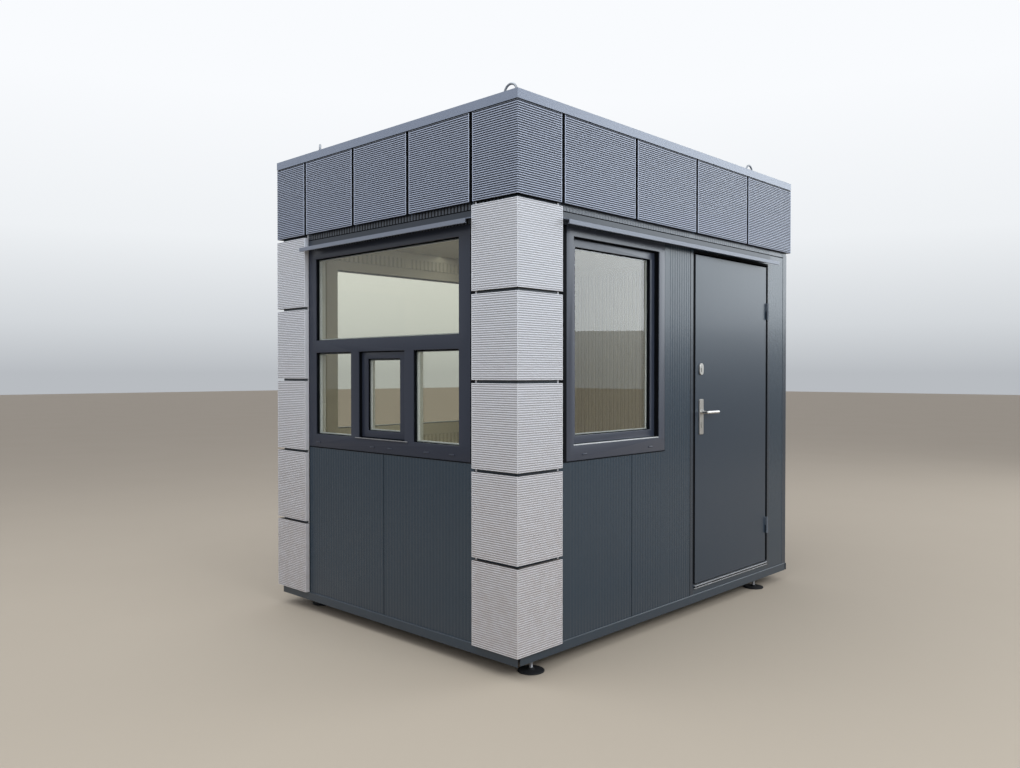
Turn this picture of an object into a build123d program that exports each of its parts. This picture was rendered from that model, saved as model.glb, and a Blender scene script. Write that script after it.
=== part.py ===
# Steel framed guard booth with anthracite sandwich walls and light grey corner columns.
# Millimetres, +Z up. The origin is on the ground, in the middle of the outline with its drip lips.
# The window front looks along -Y, the door side along +X, and the back along +Y.
import os
from build123d import *

os.makedirs("parts", exist_ok=True)

# Overall outline, taken at the faces of the attic cassettes
booth_width = 2110.0
booth_depth = 2844.0

# How far a cutting block runs past the faces that it cuts
cut_margin = 1.0

# Heights, from the ground up
foot_height = 65.0
base_height = 50.0
floor_thickness = 52.0
sill_height = 907.0
window_height = 1200.0
lip_drop = 7.0
flashing_rise = 63.0
column_rise = 20.0
attic_shadow_gap = 18.0
attic_height = 492.0
wall_rise = 118.0

# Walls and roof
wall_recess = 30.0
back_recess = 10.0
wall_thickness = 80.0
panel_width = 1000.0
first_panel_joint = 963.0
panel_groove_width = 6.0
panel_groove_depth = 6.0
corner_trim_thickness = 1.5
corner_trim_side_width = 50.0
corner_trim_back_width = 120.0
corner_trim_gap = 15.0
joint_clearance = 0.5
upstand_thickness = 30.0
roof_thickness = 80.0
roof_rib_height = 30.0
roof_rib_pitch = 250.0
roof_rib_width = 60.0

# Base frame, floor and feet
frame_inset = 45.0
frame_tube = 60.0
base_flashing_proud = 6.0
base_flashing_lift = 1.0
flashing_edge = 1.8
sheet = 3.0
foot_inset_side = 75.0
foot_inset_front = 178.0
foot_inset_left = 240.0
foot_inset_back = 391.0
foot_pad_diameter = 134.0
foot_pad_thickness = 8.0
foot_pad_edge = 2.4
foot_boss_diameter = 36.0
foot_boss_top_diameter = 24.0
foot_boss_height = 10.0
foot_rod_diameter = 20.0
foot_nut_radius = 17.0
foot_nut_height = 16.0

# Folded cassettes of the columns and the attic
column_front_width = 315.0
column_side_width = 332.0
column_cassette_count = 5
column_gap = 16.0
attic_corner_front = 320.0
attic_corner_side = 337.0
attic_front_fields = 3
attic_side_fields = 4
attic_back_fields = 5
attic_gap = 14.0
cap_drop = 47.0
cap_joint = 4.0
cassette_sheet = 2.0

# Drip flashing over the windows and the door
lip_reach = 70.0
lip_height = 22.0
lip_hem = 10.0
flange_height = 32.0
flashing_rear_margin = 254.0
flashing_column_gap = 3.0

# Front window
front_window_left_lap = 10.0
front_window_right_gap = 36.0
left_pane_width = 355.0
right_pane_width = 357.0
window_depth = 72.0
jamb_face = 88.0
sill_face = 79.0
head_face = 55.0
transom_rise = 574.0
transom_face = 75.0
mullion_face = 77.0
glazing_rebate = 10.0
glass_thickness = 24.0
glass_setback = 22.0
sash_setback = 20.0
sash_depth = 52.0
sash_stile = 62.0
sash_rail = 42.0
sash_clearance = 0.3
sill_rail_height = 4.0
sill_rail_projection = 6.0
sill_rail_overlap = 30.0
service_glass_inset = 14.0
service_glass_thickness = 20.0

# Right and left windows
right_window_start = 395.0
side_pier_width = 276.0
side_frame_face = 60.0
right_window_head = 50.0
right_sash_setback = 30.0
right_sash_depth = 42.0
right_sash_face = 46.0
right_glass_inset = 22.0
right_glass_thickness = 16.0
left_window_start = 335.0
left_window_width = 1500.0

# Door
door_rear_margin = 252.0
door_frame_width = 1026.0
door_frame_face = 45.0
door_gap = 13.0
door_thickness = 45.0
door_edge = 1.5
door_head_face = 12.0
door_foot_clearance = 8.0
door_stop_width = 14.0
door_stop_clearance = 5.0
threshold_height = 20.0
threshold_proud = 10.0
threshold_step = 4.0
threshold_bevel = 3.0
threshold_lip = 3.0
threshold_groove = 3.0
threshold_groove_depth = 4.0

# Hinges
hinge_barrel_diameter = 16.0
hinge_height = 110.0
hinge_knuckle_gap = 1.0
hinge_pin_diameter = 8.0
hinge_pin_clearance = 0.05
hinge_plate_thickness = 3.0
hinge_plate_width = 15.0
hinge_barrel_clearance = 1.0
hinge_cap = 3.0
hinge_pin_end_gap = 3.0
lower_hinge_height = 310.0
upper_hinge_height = 1780.0

# Handle set
spindle_setback = 62.0
spindle_height = 1116.0
spindle_diameter = 10.0
spindle_clearance = 1.0
plate_height = 218.0
plate_width = 45.0
plate_thickness = 8.0
plate_corner = 8.0
plate_edge = 1.6
plate_rise = 81.0
key_drop = 72.0
lever_length = 125.0
lever_diameter = 19.0
lever_reach = 50.0
lever_clearance = 0.5
key_cylinder_diameter = 17.0
key_tail_width = 10.0
key_cylinder_proud = 2.5
key_slot_width = 2.0
key_slot_length = 10.0
key_slot_depth = 1.5
lock_height = 1382.0
lock_plate_height = 71.0
lock_plate_width = 45.0
lock_plate_corner = 20.0
lock_cylinder_rise = 5.7

# Lifting eyes
eye_bar_diameter = 12.0
eye_width = 92.0
eye_top_rise = 66.0
eye_leg_drop = 130.0
eye_plate_thickness = 8.0
eye_plate_height = 90.0
eye_plate_margin = 4.0
eye_weld_depth = 1.0
eye_front_x = 114.0
eye_left_x = 375.0
eye_back_y = 474.0

# Derived planes
half_width = booth_width / 2
front_edge = (lip_reach - wall_recess - booth_depth) / 2
back_edge = front_edge + booth_depth
right_plane = half_width - wall_recess
left_plane = -right_plane
front_plane = front_edge + wall_recess
back_plane = back_edge - back_recess
inner_right = right_plane - wall_thickness
inner_left = -inner_right
inner_front = front_plane + wall_thickness
inner_back = back_plane - wall_thickness
base_bottom = foot_height
wall_bottom = base_bottom + base_height
column_bottom = wall_bottom
floor_top = wall_bottom + floor_thickness
window_bottom = wall_bottom + sill_height
window_top = window_bottom + window_height
transom_bottom = window_bottom + transom_rise
lip_bottom = window_top - lip_drop
flashing_top = window_top + flashing_rise
column_top = flashing_top + column_rise
attic_bottom = column_top + attic_shadow_gap
wall_top = window_top + wall_rise
cap_top = attic_bottom + attic_height
front_window_left = column_front_width - front_window_left_lap - half_width
front_window_right = half_width - column_front_width - front_window_right_gap
left_mullion_x = front_window_left + jamb_face + left_pane_width
right_mullion_x = front_window_right - jamb_face - right_pane_width - mullion_face
door_frame_end = booth_depth - door_rear_margin
door_frame_start = door_frame_end - door_frame_width
right_window_width = door_frame_start - side_pier_width - right_window_start
flashing_side_end = booth_depth - flashing_rear_margin
cap_bottom = cap_top - cap_drop
cassette_top = cap_bottom - cap_joint


def block(x0, x1, y0, y1, z0, z1):
    """Box between two corners."""
    size = (abs(x1 - x0), abs(y1 - y0), abs(z1 - z0))
    return Pos((x0 + x1) / 2, (y0 + y1) / 2, (z0 + z1) / 2) * Box(*size)


def along_side(distance):
    """Y of a point measured along the side from the front corner."""
    return front_edge + distance


def save(shapes, name):
    """Write one node from one shape or from several that don't touch."""
    items = shapes if isinstance(shapes, list) else [shapes]
    solids = [solid for item in items for solid in item.solids()]
    export_step(solids[0] if len(solids) == 1 else Compound(children=solids), f"parts/{name}.step")


# Base frame
def base_frame():
    x_out = half_width - frame_inset
    y_front = front_edge + frame_inset
    y_back = back_plane - (frame_inset - wall_recess)
    ring = block(-x_out, x_out, y_front, y_back, base_bottom, wall_bottom)
    rows = [y_front, along_side(foot_inset_front), back_edge - foot_inset_back, y_back]
    cross_rows = [rows[0] + frame_tube / 2, rows[1], rows[2], rows[3] - frame_tube / 2]
    for near, far in zip(cross_rows, cross_rows[1:]):
        bay = (-x_out + frame_tube, x_out - frame_tube, near + frame_tube / 2, far - frame_tube / 2)
        if bay[3] > bay[2]:
            ring -= block(*bay, base_bottom - cut_margin, wall_bottom + cut_margin)
    return ring, cross_rows


def floor_slab(cross_rows):
    x_bay = half_width - frame_inset - frame_tube - joint_clearance
    slab = block(inner_left, inner_right, inner_front, inner_back, wall_bottom, floor_top)
    for near, far in zip(cross_rows, cross_rows[1:]):
        y_near = near + frame_tube / 2 + joint_clearance
        y_far = far - frame_tube / 2 - joint_clearance
        if y_far > y_near:
            slab += block(-x_bay, x_bay, y_near, y_far, base_bottom + sheet, wall_bottom)
    return slab


def base_flashing(length):
    """Folded strip that covers the base frame, drawn with its outer face at y = 0."""
    back = base_flashing_proud + frame_inset - wall_recess
    face = block(-length / 2, length / 2, 0, sheet, base_bottom + base_flashing_lift, wall_bottom)
    ledge = block(-length / 2, length / 2, sheet, back, wall_bottom - sheet, wall_bottom)
    strip = face + ledge
    top_edge = strip.edges().filter_by(Axis.X).group_by(Axis.Z)[-1].sort_by(Axis.Y)[0]
    return chamfer(top_edge, flashing_edge)


def base_flashings():
    reach = base_flashing_proud
    x_face = right_plane + reach
    y_front = front_plane - reach
    y_back = back_plane + reach
    depth = y_back - y_front
    inner_depth = depth - 2 * (base_flashing_proud + frame_inset - wall_recess) - 2 * joint_clearance
    middle = (y_front + y_back) / 2
    front = Pos(0, y_front, 0) * base_flashing(2 * x_face)
    back = Pos(0, y_back, 0) * Rot(0, 0, 180) * base_flashing(2 * x_face)
    right = Pos(x_face, middle, 0) * Rot(0, 0, 90) * base_flashing(inner_depth)
    left = Pos(-x_face, middle, 0) * Rot(0, 0, -90) * base_flashing(inner_depth)
    return [front, back, right, left]


def foot(x, y):
    standing = (Align.CENTER, Align.CENTER, Align.MIN)
    pad = Cylinder(foot_pad_diameter / 2, foot_pad_thickness, align=standing)
    pad = chamfer(pad.edges().group_by(Axis.Z)[-1], foot_pad_edge)
    boss = Cone(foot_boss_diameter / 2, foot_boss_top_diameter / 2, foot_boss_height, align=standing)
    rod = Cylinder(foot_rod_diameter / 2, base_bottom, align=standing)
    nut = extrude(RegularPolygon(foot_nut_radius, 6), foot_nut_height)
    stack = pad + Pos(0, 0, foot_pad_thickness) * boss + rod
    return Pos(x, y, 0) * (stack + Pos(0, 0, base_bottom - foot_nut_height) * nut)


# Walls
def corner_posts():
    posts = []
    for x0, x1 in ((inner_left, left_plane), (inner_right, right_plane)):
        for y0, y1 in ((front_plane, inner_front), (inner_back, back_plane)):
            tube = block(x0, x1, y0, y1, wall_bottom, wall_top)
            posts.append(tube)
    return posts


def grooved(panel, x, y, normal):
    """Cut the open joint between two sandwich panels into the outer face."""
    half = panel_groove_width / 2
    depth = panel_groove_depth
    z = (wall_bottom - cut_margin, wall_top + cut_margin)
    if normal == "y":
        cutter = block(x - half, x + half, y - depth, y + depth, *z)
    else:
        cutter = block(x - depth, x + depth, y - half, y + half, *z)
    return panel - cutter


def front_walls():
    y = (front_plane, inner_front)
    below = block(inner_left, inner_right, *y, wall_bottom, window_bottom)
    below = grooved(below, 0, front_plane, "y")
    above = block(inner_left, inner_right, *y, window_top, wall_top)
    above = grooved(above, 0, front_plane, "y")
    left_pier = block(inner_left, front_window_left, *y, window_bottom, window_top)
    right_pier = block(front_window_right, inner_right, *y, window_bottom, window_top)
    return below, above, [left_pier, right_pier]


def left_walls():
    x = (left_plane, inner_left)
    y0 = along_side(left_window_start)
    y1 = y0 + left_window_width
    below = block(*x, inner_front, inner_back, wall_bottom, window_bottom)
    above = block(*x, inner_front, inner_back, window_top, wall_top)
    for joint in (along_side(first_panel_joint), along_side(first_panel_joint + panel_width)):
        below = grooved(below, left_plane, joint, "x")
        above = grooved(above, left_plane, joint, "x")
    piers = [block(*x, inner_front, y0, window_bottom, window_top),
             block(*x, y1, inner_back, window_bottom, window_top)]
    return below, above, piers


def right_walls():
    x = (inner_right, right_plane)
    w0 = along_side(right_window_start)
    w1 = w0 + right_window_width
    d0 = along_side(door_frame_start)
    d1 = along_side(door_frame_end)
    below = block(*x, w0, w1, wall_bottom, window_bottom)
    below = grooved(below, right_plane, along_side(first_panel_joint), "x")
    above = block(*x, inner_front, inner_back, window_top, wall_top)
    piers = [block(*x, inner_front, w0, wall_bottom, window_top),
             block(*x, w1, d0, wall_bottom, window_top),
             block(*x, d1, inner_back, wall_bottom, window_top)]
    return below, above, piers


def back_wall():
    wall = block(inner_left, inner_right, inner_back, back_plane, wall_bottom, wall_top)
    return grooved(wall, 0, back_plane, "y")


# Roof, attic upstands and cap
def roof_panel():
    x = right_plane - upstand_thickness - joint_clearance
    y0 = front_plane + upstand_thickness + joint_clearance
    y1 = back_plane - upstand_thickness - joint_clearance
    roof = block(-x, x, y0, y1, wall_top, wall_top + roof_thickness)
    top = wall_top + roof_thickness
    half = roof_rib_width / 2
    profile = Polygon((-half, 0), (half, 0), (half / 2, roof_rib_height), (-half / 2, roof_rib_height), align=None)
    rib = extrude(Plane.XZ * profile, y0 - y1)
    count = int((2 * x - roof_rib_width) // roof_rib_pitch) + 1
    first = -roof_rib_pitch * (count - 1) / 2
    for i in range(count):
        roof += Pos(first + i * roof_rib_pitch, y0, top) * rib
    return roof


def attic_upstands():
    inner = right_plane - upstand_thickness
    z = (wall_top, cap_top - sheet)
    cross = inner - joint_clearance
    return [block(inner, right_plane, front_plane, back_plane, *z),
            block(left_plane, -inner, front_plane, back_plane, *z),
            block(-cross, cross, front_plane, front_plane + upstand_thickness, *z),
            block(-cross, cross, back_plane - upstand_thickness, back_plane, *z)]


def cap_flashings():
    side = wall_recess + upstand_thickness + sheet
    rear = back_recess + upstand_thickness + sheet
    low = cap_bottom - cut_margin
    x0, x1, y0, y1 = -half_width, half_width, front_edge, back_edge
    ring = block(x0, x1, y0, y1, cap_bottom, cap_top)
    ring -= block(x0 + side, x1 - side, y0 + side, y1 - rear, low, cap_top + cut_margin)
    channel = block(x0 + sheet, x1 - sheet, y0 + sheet, y1 - sheet, low, cap_top - sheet)
    core = side - sheet
    channel -= block(x0 + core, x1 - core, y0 + core, y1 - (rear - sheet), low - cut_margin, cap_top)
    ring -= channel
    corners = [(x0, y0), (x1, y0), (x1, y1), (x0, y1)]
    inner = [(x0 + side, y0 + side), (x1 - side, y0 + side), (x1 - side, y1 - rear), (x0 + side, y1 - rear)]
    shifts = [(0, -1), (1, 0), (0, 1), (-1, 0)]
    shift = cut_margin + joint_clearance
    members = []
    for i, (dx, dy) in enumerate(shifts):
        j = (i + 1) % 4
        wedge = Polygon(corners[i], corners[j], inner[j], inner[i], align=None)
        wedge = offset(wedge, cut_margin, kind=Kind.INTERSECTION)
        mitre = extrude(Pos(dx * shift, dy * shift, low) * wedge, cap_drop + 2 * cut_margin)
        members.append(ring & mitre)
    return members


# Folded cassettes
def tray(width, height, depth):
    """Folded tray with its face at y = 0, its bottom at z = 0 and its returns against the wall."""
    s = cassette_sheet
    body = block(-width / 2, width / 2, 0, depth, 0, height)
    return body - block(s - width / 2, width / 2 - s, s, depth + cut_margin, s, height - s)


def corner_tray(front, side, height):
    """Folded tray that wraps the right front corner, whose outer edge stands at x = y = 0."""
    s = cassette_sheet
    depth = wall_recess
    body = block(-front, 0, 0, depth, 0, height) + block(-depth, 0, 0, side, 0, height)
    body -= block(s - front, -s, s, depth + cut_margin, s, height - s)
    return body - block(-depth - cut_margin, -s, s, side - s, s, height - s)


def column_cassettes():
    """Five stacked corner trays for the right front column."""
    pitch = (column_top - column_bottom + column_gap) / column_cassette_count
    piece = corner_tray(column_front_width, column_side_width, pitch - column_gap)
    return [Pos(half_width, front_edge, column_bottom + i * pitch) * piece
            for i in range(column_cassette_count)]


def attic_corner_cassette():
    height = cassette_top - attic_bottom
    piece = corner_tray(attic_corner_front - attic_gap / 2, attic_corner_side - attic_gap / 2, height)
    return Pos(half_width, front_edge, attic_bottom) * piece


def attic_fields():
    height = cassette_top - attic_bottom
    fields = []
    front_span = booth_width - 2 * attic_corner_front
    front_pitch = front_span / attic_front_fields
    for i in range(attic_front_fields):
        x = -front_span / 2 + (i + 0.5) * front_pitch
        fields.append(Pos(x, front_edge, attic_bottom) * tray(front_pitch - attic_gap, height, wall_recess))
    side_pitch = (booth_depth - attic_corner_side) / attic_side_fields
    for i in range(attic_side_fields):
        last = i == attic_side_fields - 1
        y0 = along_side(attic_corner_side + i * side_pitch) + attic_gap / 2
        width = side_pitch - attic_gap / 2 if last else side_pitch - attic_gap
        for direction in (1, -1):
            piece = Rot(0, 0, 90 * direction) * tray(width, height, wall_recess)
            fields.append(Pos(direction * half_width, y0 + width / 2, attic_bottom) * piece)
    back_span = 2 * right_plane - attic_gap
    back_pitch = back_span / attic_back_fields
    for i in range(attic_back_fields):
        x = -back_span / 2 + (i + 0.5) * back_pitch
        piece = Rot(0, 0, 180) * tray(back_pitch - attic_gap, height, back_recess)
        fields.append(Pos(x, back_edge, attic_bottom) * piece)
    return fields


# Drip flashings
def drip_flashing(length):
    """Folded strip with a sloping lip, drawn on a wall face at y = 0 with its length along X."""
    fold_z = flashing_top - flange_height
    lip_z = lip_bottom + lip_height
    section = Polygon((0, flashing_top), (-sheet, flashing_top), (-sheet, fold_z), (-lip_reach, lip_z),
                      (-lip_reach, lip_bottom), (lip_hem - lip_reach, lip_bottom),
                      (lip_hem - lip_reach, lip_bottom + sheet), (sheet - lip_reach, lip_bottom + sheet),
                      (sheet - lip_reach, lip_z - sheet), (0, fold_z - sheet), align=None)
    return Pos(-length / 2, 0, 0) * extrude(Plane.YZ * section, length)


def drip_flashings():
    front_length = booth_width - 2 * (column_front_width + flashing_column_gap)
    start = column_side_width + flashing_column_gap
    right_length = flashing_side_end - start
    left_length = left_window_start + left_window_width + side_frame_face - start
    front = Pos(0, front_plane, 0) * drip_flashing(front_length)
    right = Pos(right_plane, along_side(start + right_length / 2), 0) * Rot(0, 0, 90) * drip_flashing(right_length)
    left = Pos(left_plane, along_side(start + left_length / 2), 0) * Rot(0, 0, -90) * drip_flashing(left_length)
    return [front, right, left]


# Windows, drawn in a front frame: face at y = 0, x along the wall, z up
def framed(x0, x1, z0, z1, depth, panes, setback, thickness):
    """Frame with through openings and a glazing groove around each pane, and its panes."""
    frame = block(x0, x1, 0, depth, z0, z1)
    glasses = []
    for a, b, c, d in panes:
        r = glazing_rebate
        frame -= block(a, b, -cut_margin, depth + cut_margin, c, d)
        if thickness:
            frame -= block(a - r, b + r, setback, setback + thickness, c - r, d + r)
            e = r - joint_clearance
            glasses.append(block(a - e, b + e, setback + joint_clearance / 2,
                                 setback + thickness - joint_clearance / 2, c - e, d + e))
    return frame, glasses


def front_window():
    x0, x1, z0, z1 = front_window_left, front_window_right, window_bottom, window_top
    inner_left_x, inner_right_x = x0 + jamb_face, x1 - jamb_face
    low, high = z0 + sill_face, z1 - head_face
    transom_top = transom_bottom + transom_face
    left_open = left_mullion_x + mullion_face
    panes = [(inner_left_x, inner_right_x, transom_top, high),
             (inner_left_x, left_mullion_x, low, transom_bottom),
             (right_mullion_x + mullion_face, inner_right_x, low, transom_bottom)]
    frame, glasses = framed(x0, x1, z0, z1, window_depth, panes, glass_setback, glass_thickness)
    frame -= block(left_open, right_mullion_x, -cut_margin, window_depth + cut_margin, low, transom_bottom)
    c = sash_clearance
    sx0, sx1, sz0, sz1 = left_open + c, right_mullion_x - c, low + c, transom_bottom - c
    pane = [(sx0 + sash_stile, sx1 - sash_stile, sz0 + sash_rail, sz1 - sash_rail)]
    sash, sash_glass = framed(sx0, sx1, sz0, sz1, sash_depth, pane, service_glass_inset,
                              service_glass_thickness)
    move = Pos(0, sash_setback, 0)
    rail = block(left_open - sill_rail_overlap, right_mullion_x + sill_rail_overlap, -sill_rail_projection, 0,
                 low - sill_rail_height, low)
    place = Pos(0, front_plane, 0)
    return (place * frame, [place * g for g in glasses], place * move * sash,
            [place * move * g for g in sash_glass], place * rail)


def right_window():
    width = right_window_width
    z0, z1 = window_bottom, window_top
    opening = (side_frame_face, width - side_frame_face, z0 + sill_face, z1 - right_window_head)
    frame, _ = framed(0, width, z0, z1, window_depth, [opening], 0, 0)
    c = sash_clearance
    a, b, low, high = opening[0] + c, opening[1] - c, opening[2] + c, opening[3] - c
    f = right_sash_face
    pane = [(a + f, b - f, low + f, high - f)]
    sash, glass = framed(a, b, low, high, right_sash_depth, pane, right_glass_inset, right_glass_thickness)
    place = Pos(right_plane, along_side(right_window_start), 0) * Rot(0, 0, 90)
    move = Pos(0, right_sash_setback, 0)
    return place * frame, place * move * sash, [place * move * g for g in glass]


def left_window():
    width = left_window_width
    f = side_frame_face
    pane = [(f, width - f, window_bottom + sill_face, window_top - f)]
    frame, glass = framed(0, width, window_bottom, window_top, window_depth, pane, glass_setback, glass_thickness)
    start = along_side(left_window_start + width)
    place = Pos(left_plane, start, 0) * Rot(0, 0, -90)
    return place * frame, [place * g for g in glass]


# Door set
leaf_start = along_side(door_frame_start + door_frame_face + door_gap)
leaf_end = along_side(door_frame_end - door_frame_face - door_gap)
threshold_top = floor_top + threshold_step
leaf_bottom = threshold_top + door_foot_clearance
leaf_top = window_top - door_head_face - door_gap
head_top = leaf_top + door_gap + door_frame_face
hinge_axis_x = right_plane + hinge_barrel_diameter / 2 + hinge_barrel_clearance
hinge_axis_y = leaf_end + door_gap / 2
spindle_y = leaf_start + spindle_setback
leaf_inner = right_plane - door_thickness


def door_jambs():
    """Two upright frame members, each with the stop that the closed leaf meets."""
    y0 = along_side(door_frame_start)
    y1 = along_side(door_frame_end)
    stop_face = leaf_inner - door_stop_clearance
    reach = door_frame_face + door_gap + door_stop_width
    left_jamb = block(inner_right, right_plane, y0, y0 + door_frame_face, wall_bottom, leaf_top + door_gap)
    left_jamb += block(inner_right, stop_face, y0, y0 + reach, threshold_top, leaf_top + door_gap)
    right_jamb = block(inner_right, right_plane, y1 - door_frame_face, y1, wall_bottom, leaf_top + door_gap)
    right_jamb += block(inner_right, stop_face, y1 - reach, y1, threshold_top, leaf_top + door_gap)
    return [left_jamb, right_jamb]


def door_head():
    y0 = along_side(door_frame_start)
    y1 = along_side(door_frame_end)
    head_bottom = leaf_top + door_gap
    stop_side = door_frame_face + door_gap + door_stop_width
    head = block(inner_right, right_plane, y0, y1, head_bottom, head_top)
    stop = block(inner_right, leaf_inner - door_stop_clearance, y0 + stop_side, y1 - stop_side,
                 leaf_top - door_stop_width, head_bottom)
    return head + stop


def threshold():
    """Metal profile under the leaf, with a grooved nose, and the plain apron that carries it."""
    y0 = along_side(door_frame_start + door_frame_face)
    y1 = along_side(door_frame_end - door_frame_face)
    stop = door_gap + door_stop_width
    stop_x = leaf_inner - door_stop_clearance
    shelf = threshold_top - threshold_height
    body = block(stop_x, right_plane, y0, y1, shelf, threshold_top)
    body += block(inner_right, stop_x, y0 + stop, y1 - stop, shelf, threshold_top)
    apron = block(stop_x, right_plane, y0, y1, wall_bottom, shelf)
    apron += block(inner_right, stop_x, y0 + stop, y1 - stop, wall_bottom, shelf)
    nose_top = threshold_top - threshold_bevel
    groove_low = shelf + threshold_lip
    groove_high = groove_low + threshold_groove
    groove_x = threshold_proud - threshold_groove_depth
    nose = Polygon((0, shelf), (threshold_proud, shelf), (threshold_proud, groove_low), (groove_x, groove_low),
                   (groove_x, groove_high), (threshold_proud, groove_high), (threshold_proud, nose_top),
                   (0, threshold_top), align=None)
    return body + Pos(right_plane, y1, 0) * extrude(Plane.XZ * nose, y1 - y0), apron


def wall_over_openings(wall):
    """Take the place of the door head out of the wall above it."""
    x = (inner_right - cut_margin, right_plane + cut_margin)
    return wall - block(*x, along_side(door_frame_start), along_side(door_frame_end), wall_bottom, head_top)


def door_leaf():
    leaf = block(leaf_inner, right_plane, leaf_start, leaf_end, leaf_bottom, leaf_top)
    leaf = chamfer(leaf.edges().filter_by(Axis.Z), door_edge)
    bore = cross_bar(spindle_diameter / 2 + spindle_clearance, leaf_inner - cut_margin, right_plane + cut_margin,
                     spindle_y, column_bottom + spindle_height)
    return leaf - bore


def cross_bar(radius, x0, x1, y, z):
    """Round bar along X."""
    bar = Cylinder(radius, x1 - x0, rotation=(0, 90, 0))
    return Pos((x0 + x1) / 2, y, z) * bar


def face_plate(z_low, height, width, corner, outside):
    """Rounded escutcheon plate on one face of the leaf."""
    x0 = right_plane if outside else leaf_inner - plate_thickness
    sketch = RectangleRounded(width, height, corner)
    plate = extrude(Plane.YZ * sketch, plate_thickness)
    edge_group = plate.edges().group_by(Axis.X)[-1 if outside else 0]
    plate = chamfer(edge_group, plate_edge)
    return Pos(x0, spindle_y, z_low + height / 2) * plate


def key_cylinder(z, outside):
    """Profile cylinder that stands a little proud of its plate."""
    length = plate_thickness + key_cylinder_proud
    x0 = right_plane if outside else leaf_inner - length
    drop = key_cylinder_diameter
    shape = Circle(key_cylinder_diameter / 2) + Pos(0, -drop / 2) * Rectangle(key_tail_width, drop)
    shape += Pos(0, -drop) * Circle(key_tail_width / 2)
    slot = Rectangle(key_slot_width, key_slot_length)
    body = extrude(Plane.YZ * shape, length)
    cut = extrude(Plane.YZ * slot, key_slot_depth)
    body -= Pos(length - key_slot_depth if outside else 0, 0, 0) * cut
    return Pos(x0, spindle_y, z) * body


def handle_plates():
    z = column_bottom + spindle_height
    reach = plate_thickness + cut_margin
    hub = cross_bar(lever_diameter / 2 + lever_clearance, leaf_inner - reach, right_plane + reach, spindle_y, z)
    plates = []
    for outside in (True, False):
        plate = face_plate(z + plate_rise - plate_height, plate_height, plate_width, plate_corner, outside)
        plate += key_cylinder(z - key_drop, outside)
        plates.append(plate - hub)
    return plates


def lock_escutcheons():
    z = column_bottom + lock_height
    plates = []
    for outside in (True, False):
        plate = face_plate(z - lock_plate_height / 2, lock_plate_height, lock_plate_width, lock_plate_corner, outside)
        plates.append(plate + key_cylinder(z + lock_cylinder_rise, outside))
    return plates


def lever_handle():
    """Outer and inner lever on one spindle, both pointing to the hinges."""
    z = column_bottom + spindle_height
    radius = lever_diameter / 2
    gap = lever_clearance
    spindle = cross_bar(spindle_diameter / 2, leaf_inner - plate_thickness, right_plane + plate_thickness,
                        spindle_y, z)
    handle = spindle
    for direction, face in ((1, right_plane), (-1, leaf_inner)):
        start = face + direction * gap
        end = face + direction * lever_reach
        handle += cross_bar(radius, min(start, end), max(start, end), spindle_y, z)
        grip = Cylinder(radius, lever_length, rotation=(90, 0, 0))
        handle += Pos(end, spindle_y + lever_length / 2, z) * grip
        handle += Pos(end, spindle_y, z) * Sphere(radius)
        handle += Pos(end, spindle_y + lever_length, z) * Sphere(radius)
    return handle


def hinge_barrel(z0, z1, radius):
    return Pos(hinge_axis_x, hinge_axis_y, (z0 + z1) / 2) * Cylinder(radius, z1 - z0)


def hinge_parts():
    """Lower knuckles with pins on the frame and upper knuckles on the leaf."""
    frame_parts = []
    leaf_parts = []
    radius = hinge_barrel_diameter / 2
    pin = hinge_pin_diameter / 2
    for middle in (lower_hinge_height, upper_hinge_height):
        z0 = column_bottom + middle - hinge_height / 2
        z1 = z0 + hinge_height
        split = (z0 + z1) / 2
        lower = hinge_barrel(z0, split, radius)
        lower += block(right_plane, right_plane + hinge_plate_thickness, hinge_axis_y,
                       hinge_axis_y + hinge_plate_width, z0, split)
        lower += hinge_barrel(split, z1 - hinge_cap - hinge_pin_end_gap, pin)
        upper = hinge_barrel(split + hinge_knuckle_gap, z1, radius)
        upper += block(right_plane, right_plane + hinge_plate_thickness, hinge_axis_y - hinge_plate_width,
                       hinge_axis_y, split + hinge_knuckle_gap, z1)
        upper -= hinge_barrel(split, z1 - hinge_cap, pin + hinge_pin_clearance)
        frame_parts.append(lower)
        leaf_parts.append(upper)
    return frame_parts, leaf_parts


def lifting_eye():
    """Bent bar loop welded to a plate, drawn on an upstand face at y = 0 that looks along +Y."""
    radius = (eye_width - eye_bar_diameter) / 2
    bar_y = eye_plate_thickness + eye_bar_diameter / 2 - eye_weld_depth
    top = cap_top + eye_top_rise - eye_bar_diameter / 2
    low = cap_top - eye_leg_drop
    arc_z = top - radius
    path = Line((-radius, bar_y, low), (-radius, bar_y, arc_z))
    path += ThreePointArc((-radius, bar_y, arc_z), (0, bar_y, top), (radius, bar_y, arc_z))
    path += Line((radius, bar_y, arc_z), (radius, bar_y, low))
    section = Plane(origin=(-radius, bar_y, low), z_dir=(0, 0, 1)) * Circle(eye_bar_diameter / 2)
    loop = sweep(section, path=path)
    plate_top = cap_bottom - sheet
    plate_reach = eye_width / 2 + eye_plate_margin
    plate = block(-plate_reach, plate_reach, 0, eye_plate_thickness, plate_top - eye_plate_height, plate_top)
    return loop + plate


def lifting_eyes():
    eye = lifting_eye()
    front_face = front_plane + upstand_thickness
    side_face = right_plane - upstand_thickness
    back_y = back_edge - eye_back_y
    return [Pos(half_width - eye_front_x, front_face, 0) * eye,
            Pos(eye_left_x - half_width, front_face, 0) * eye,
            Pos(side_face, back_y, 0) * Rot(0, 0, 90) * eye,
            Pos(-side_face, back_y, 0) * Rot(0, 0, -90) * eye]


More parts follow.
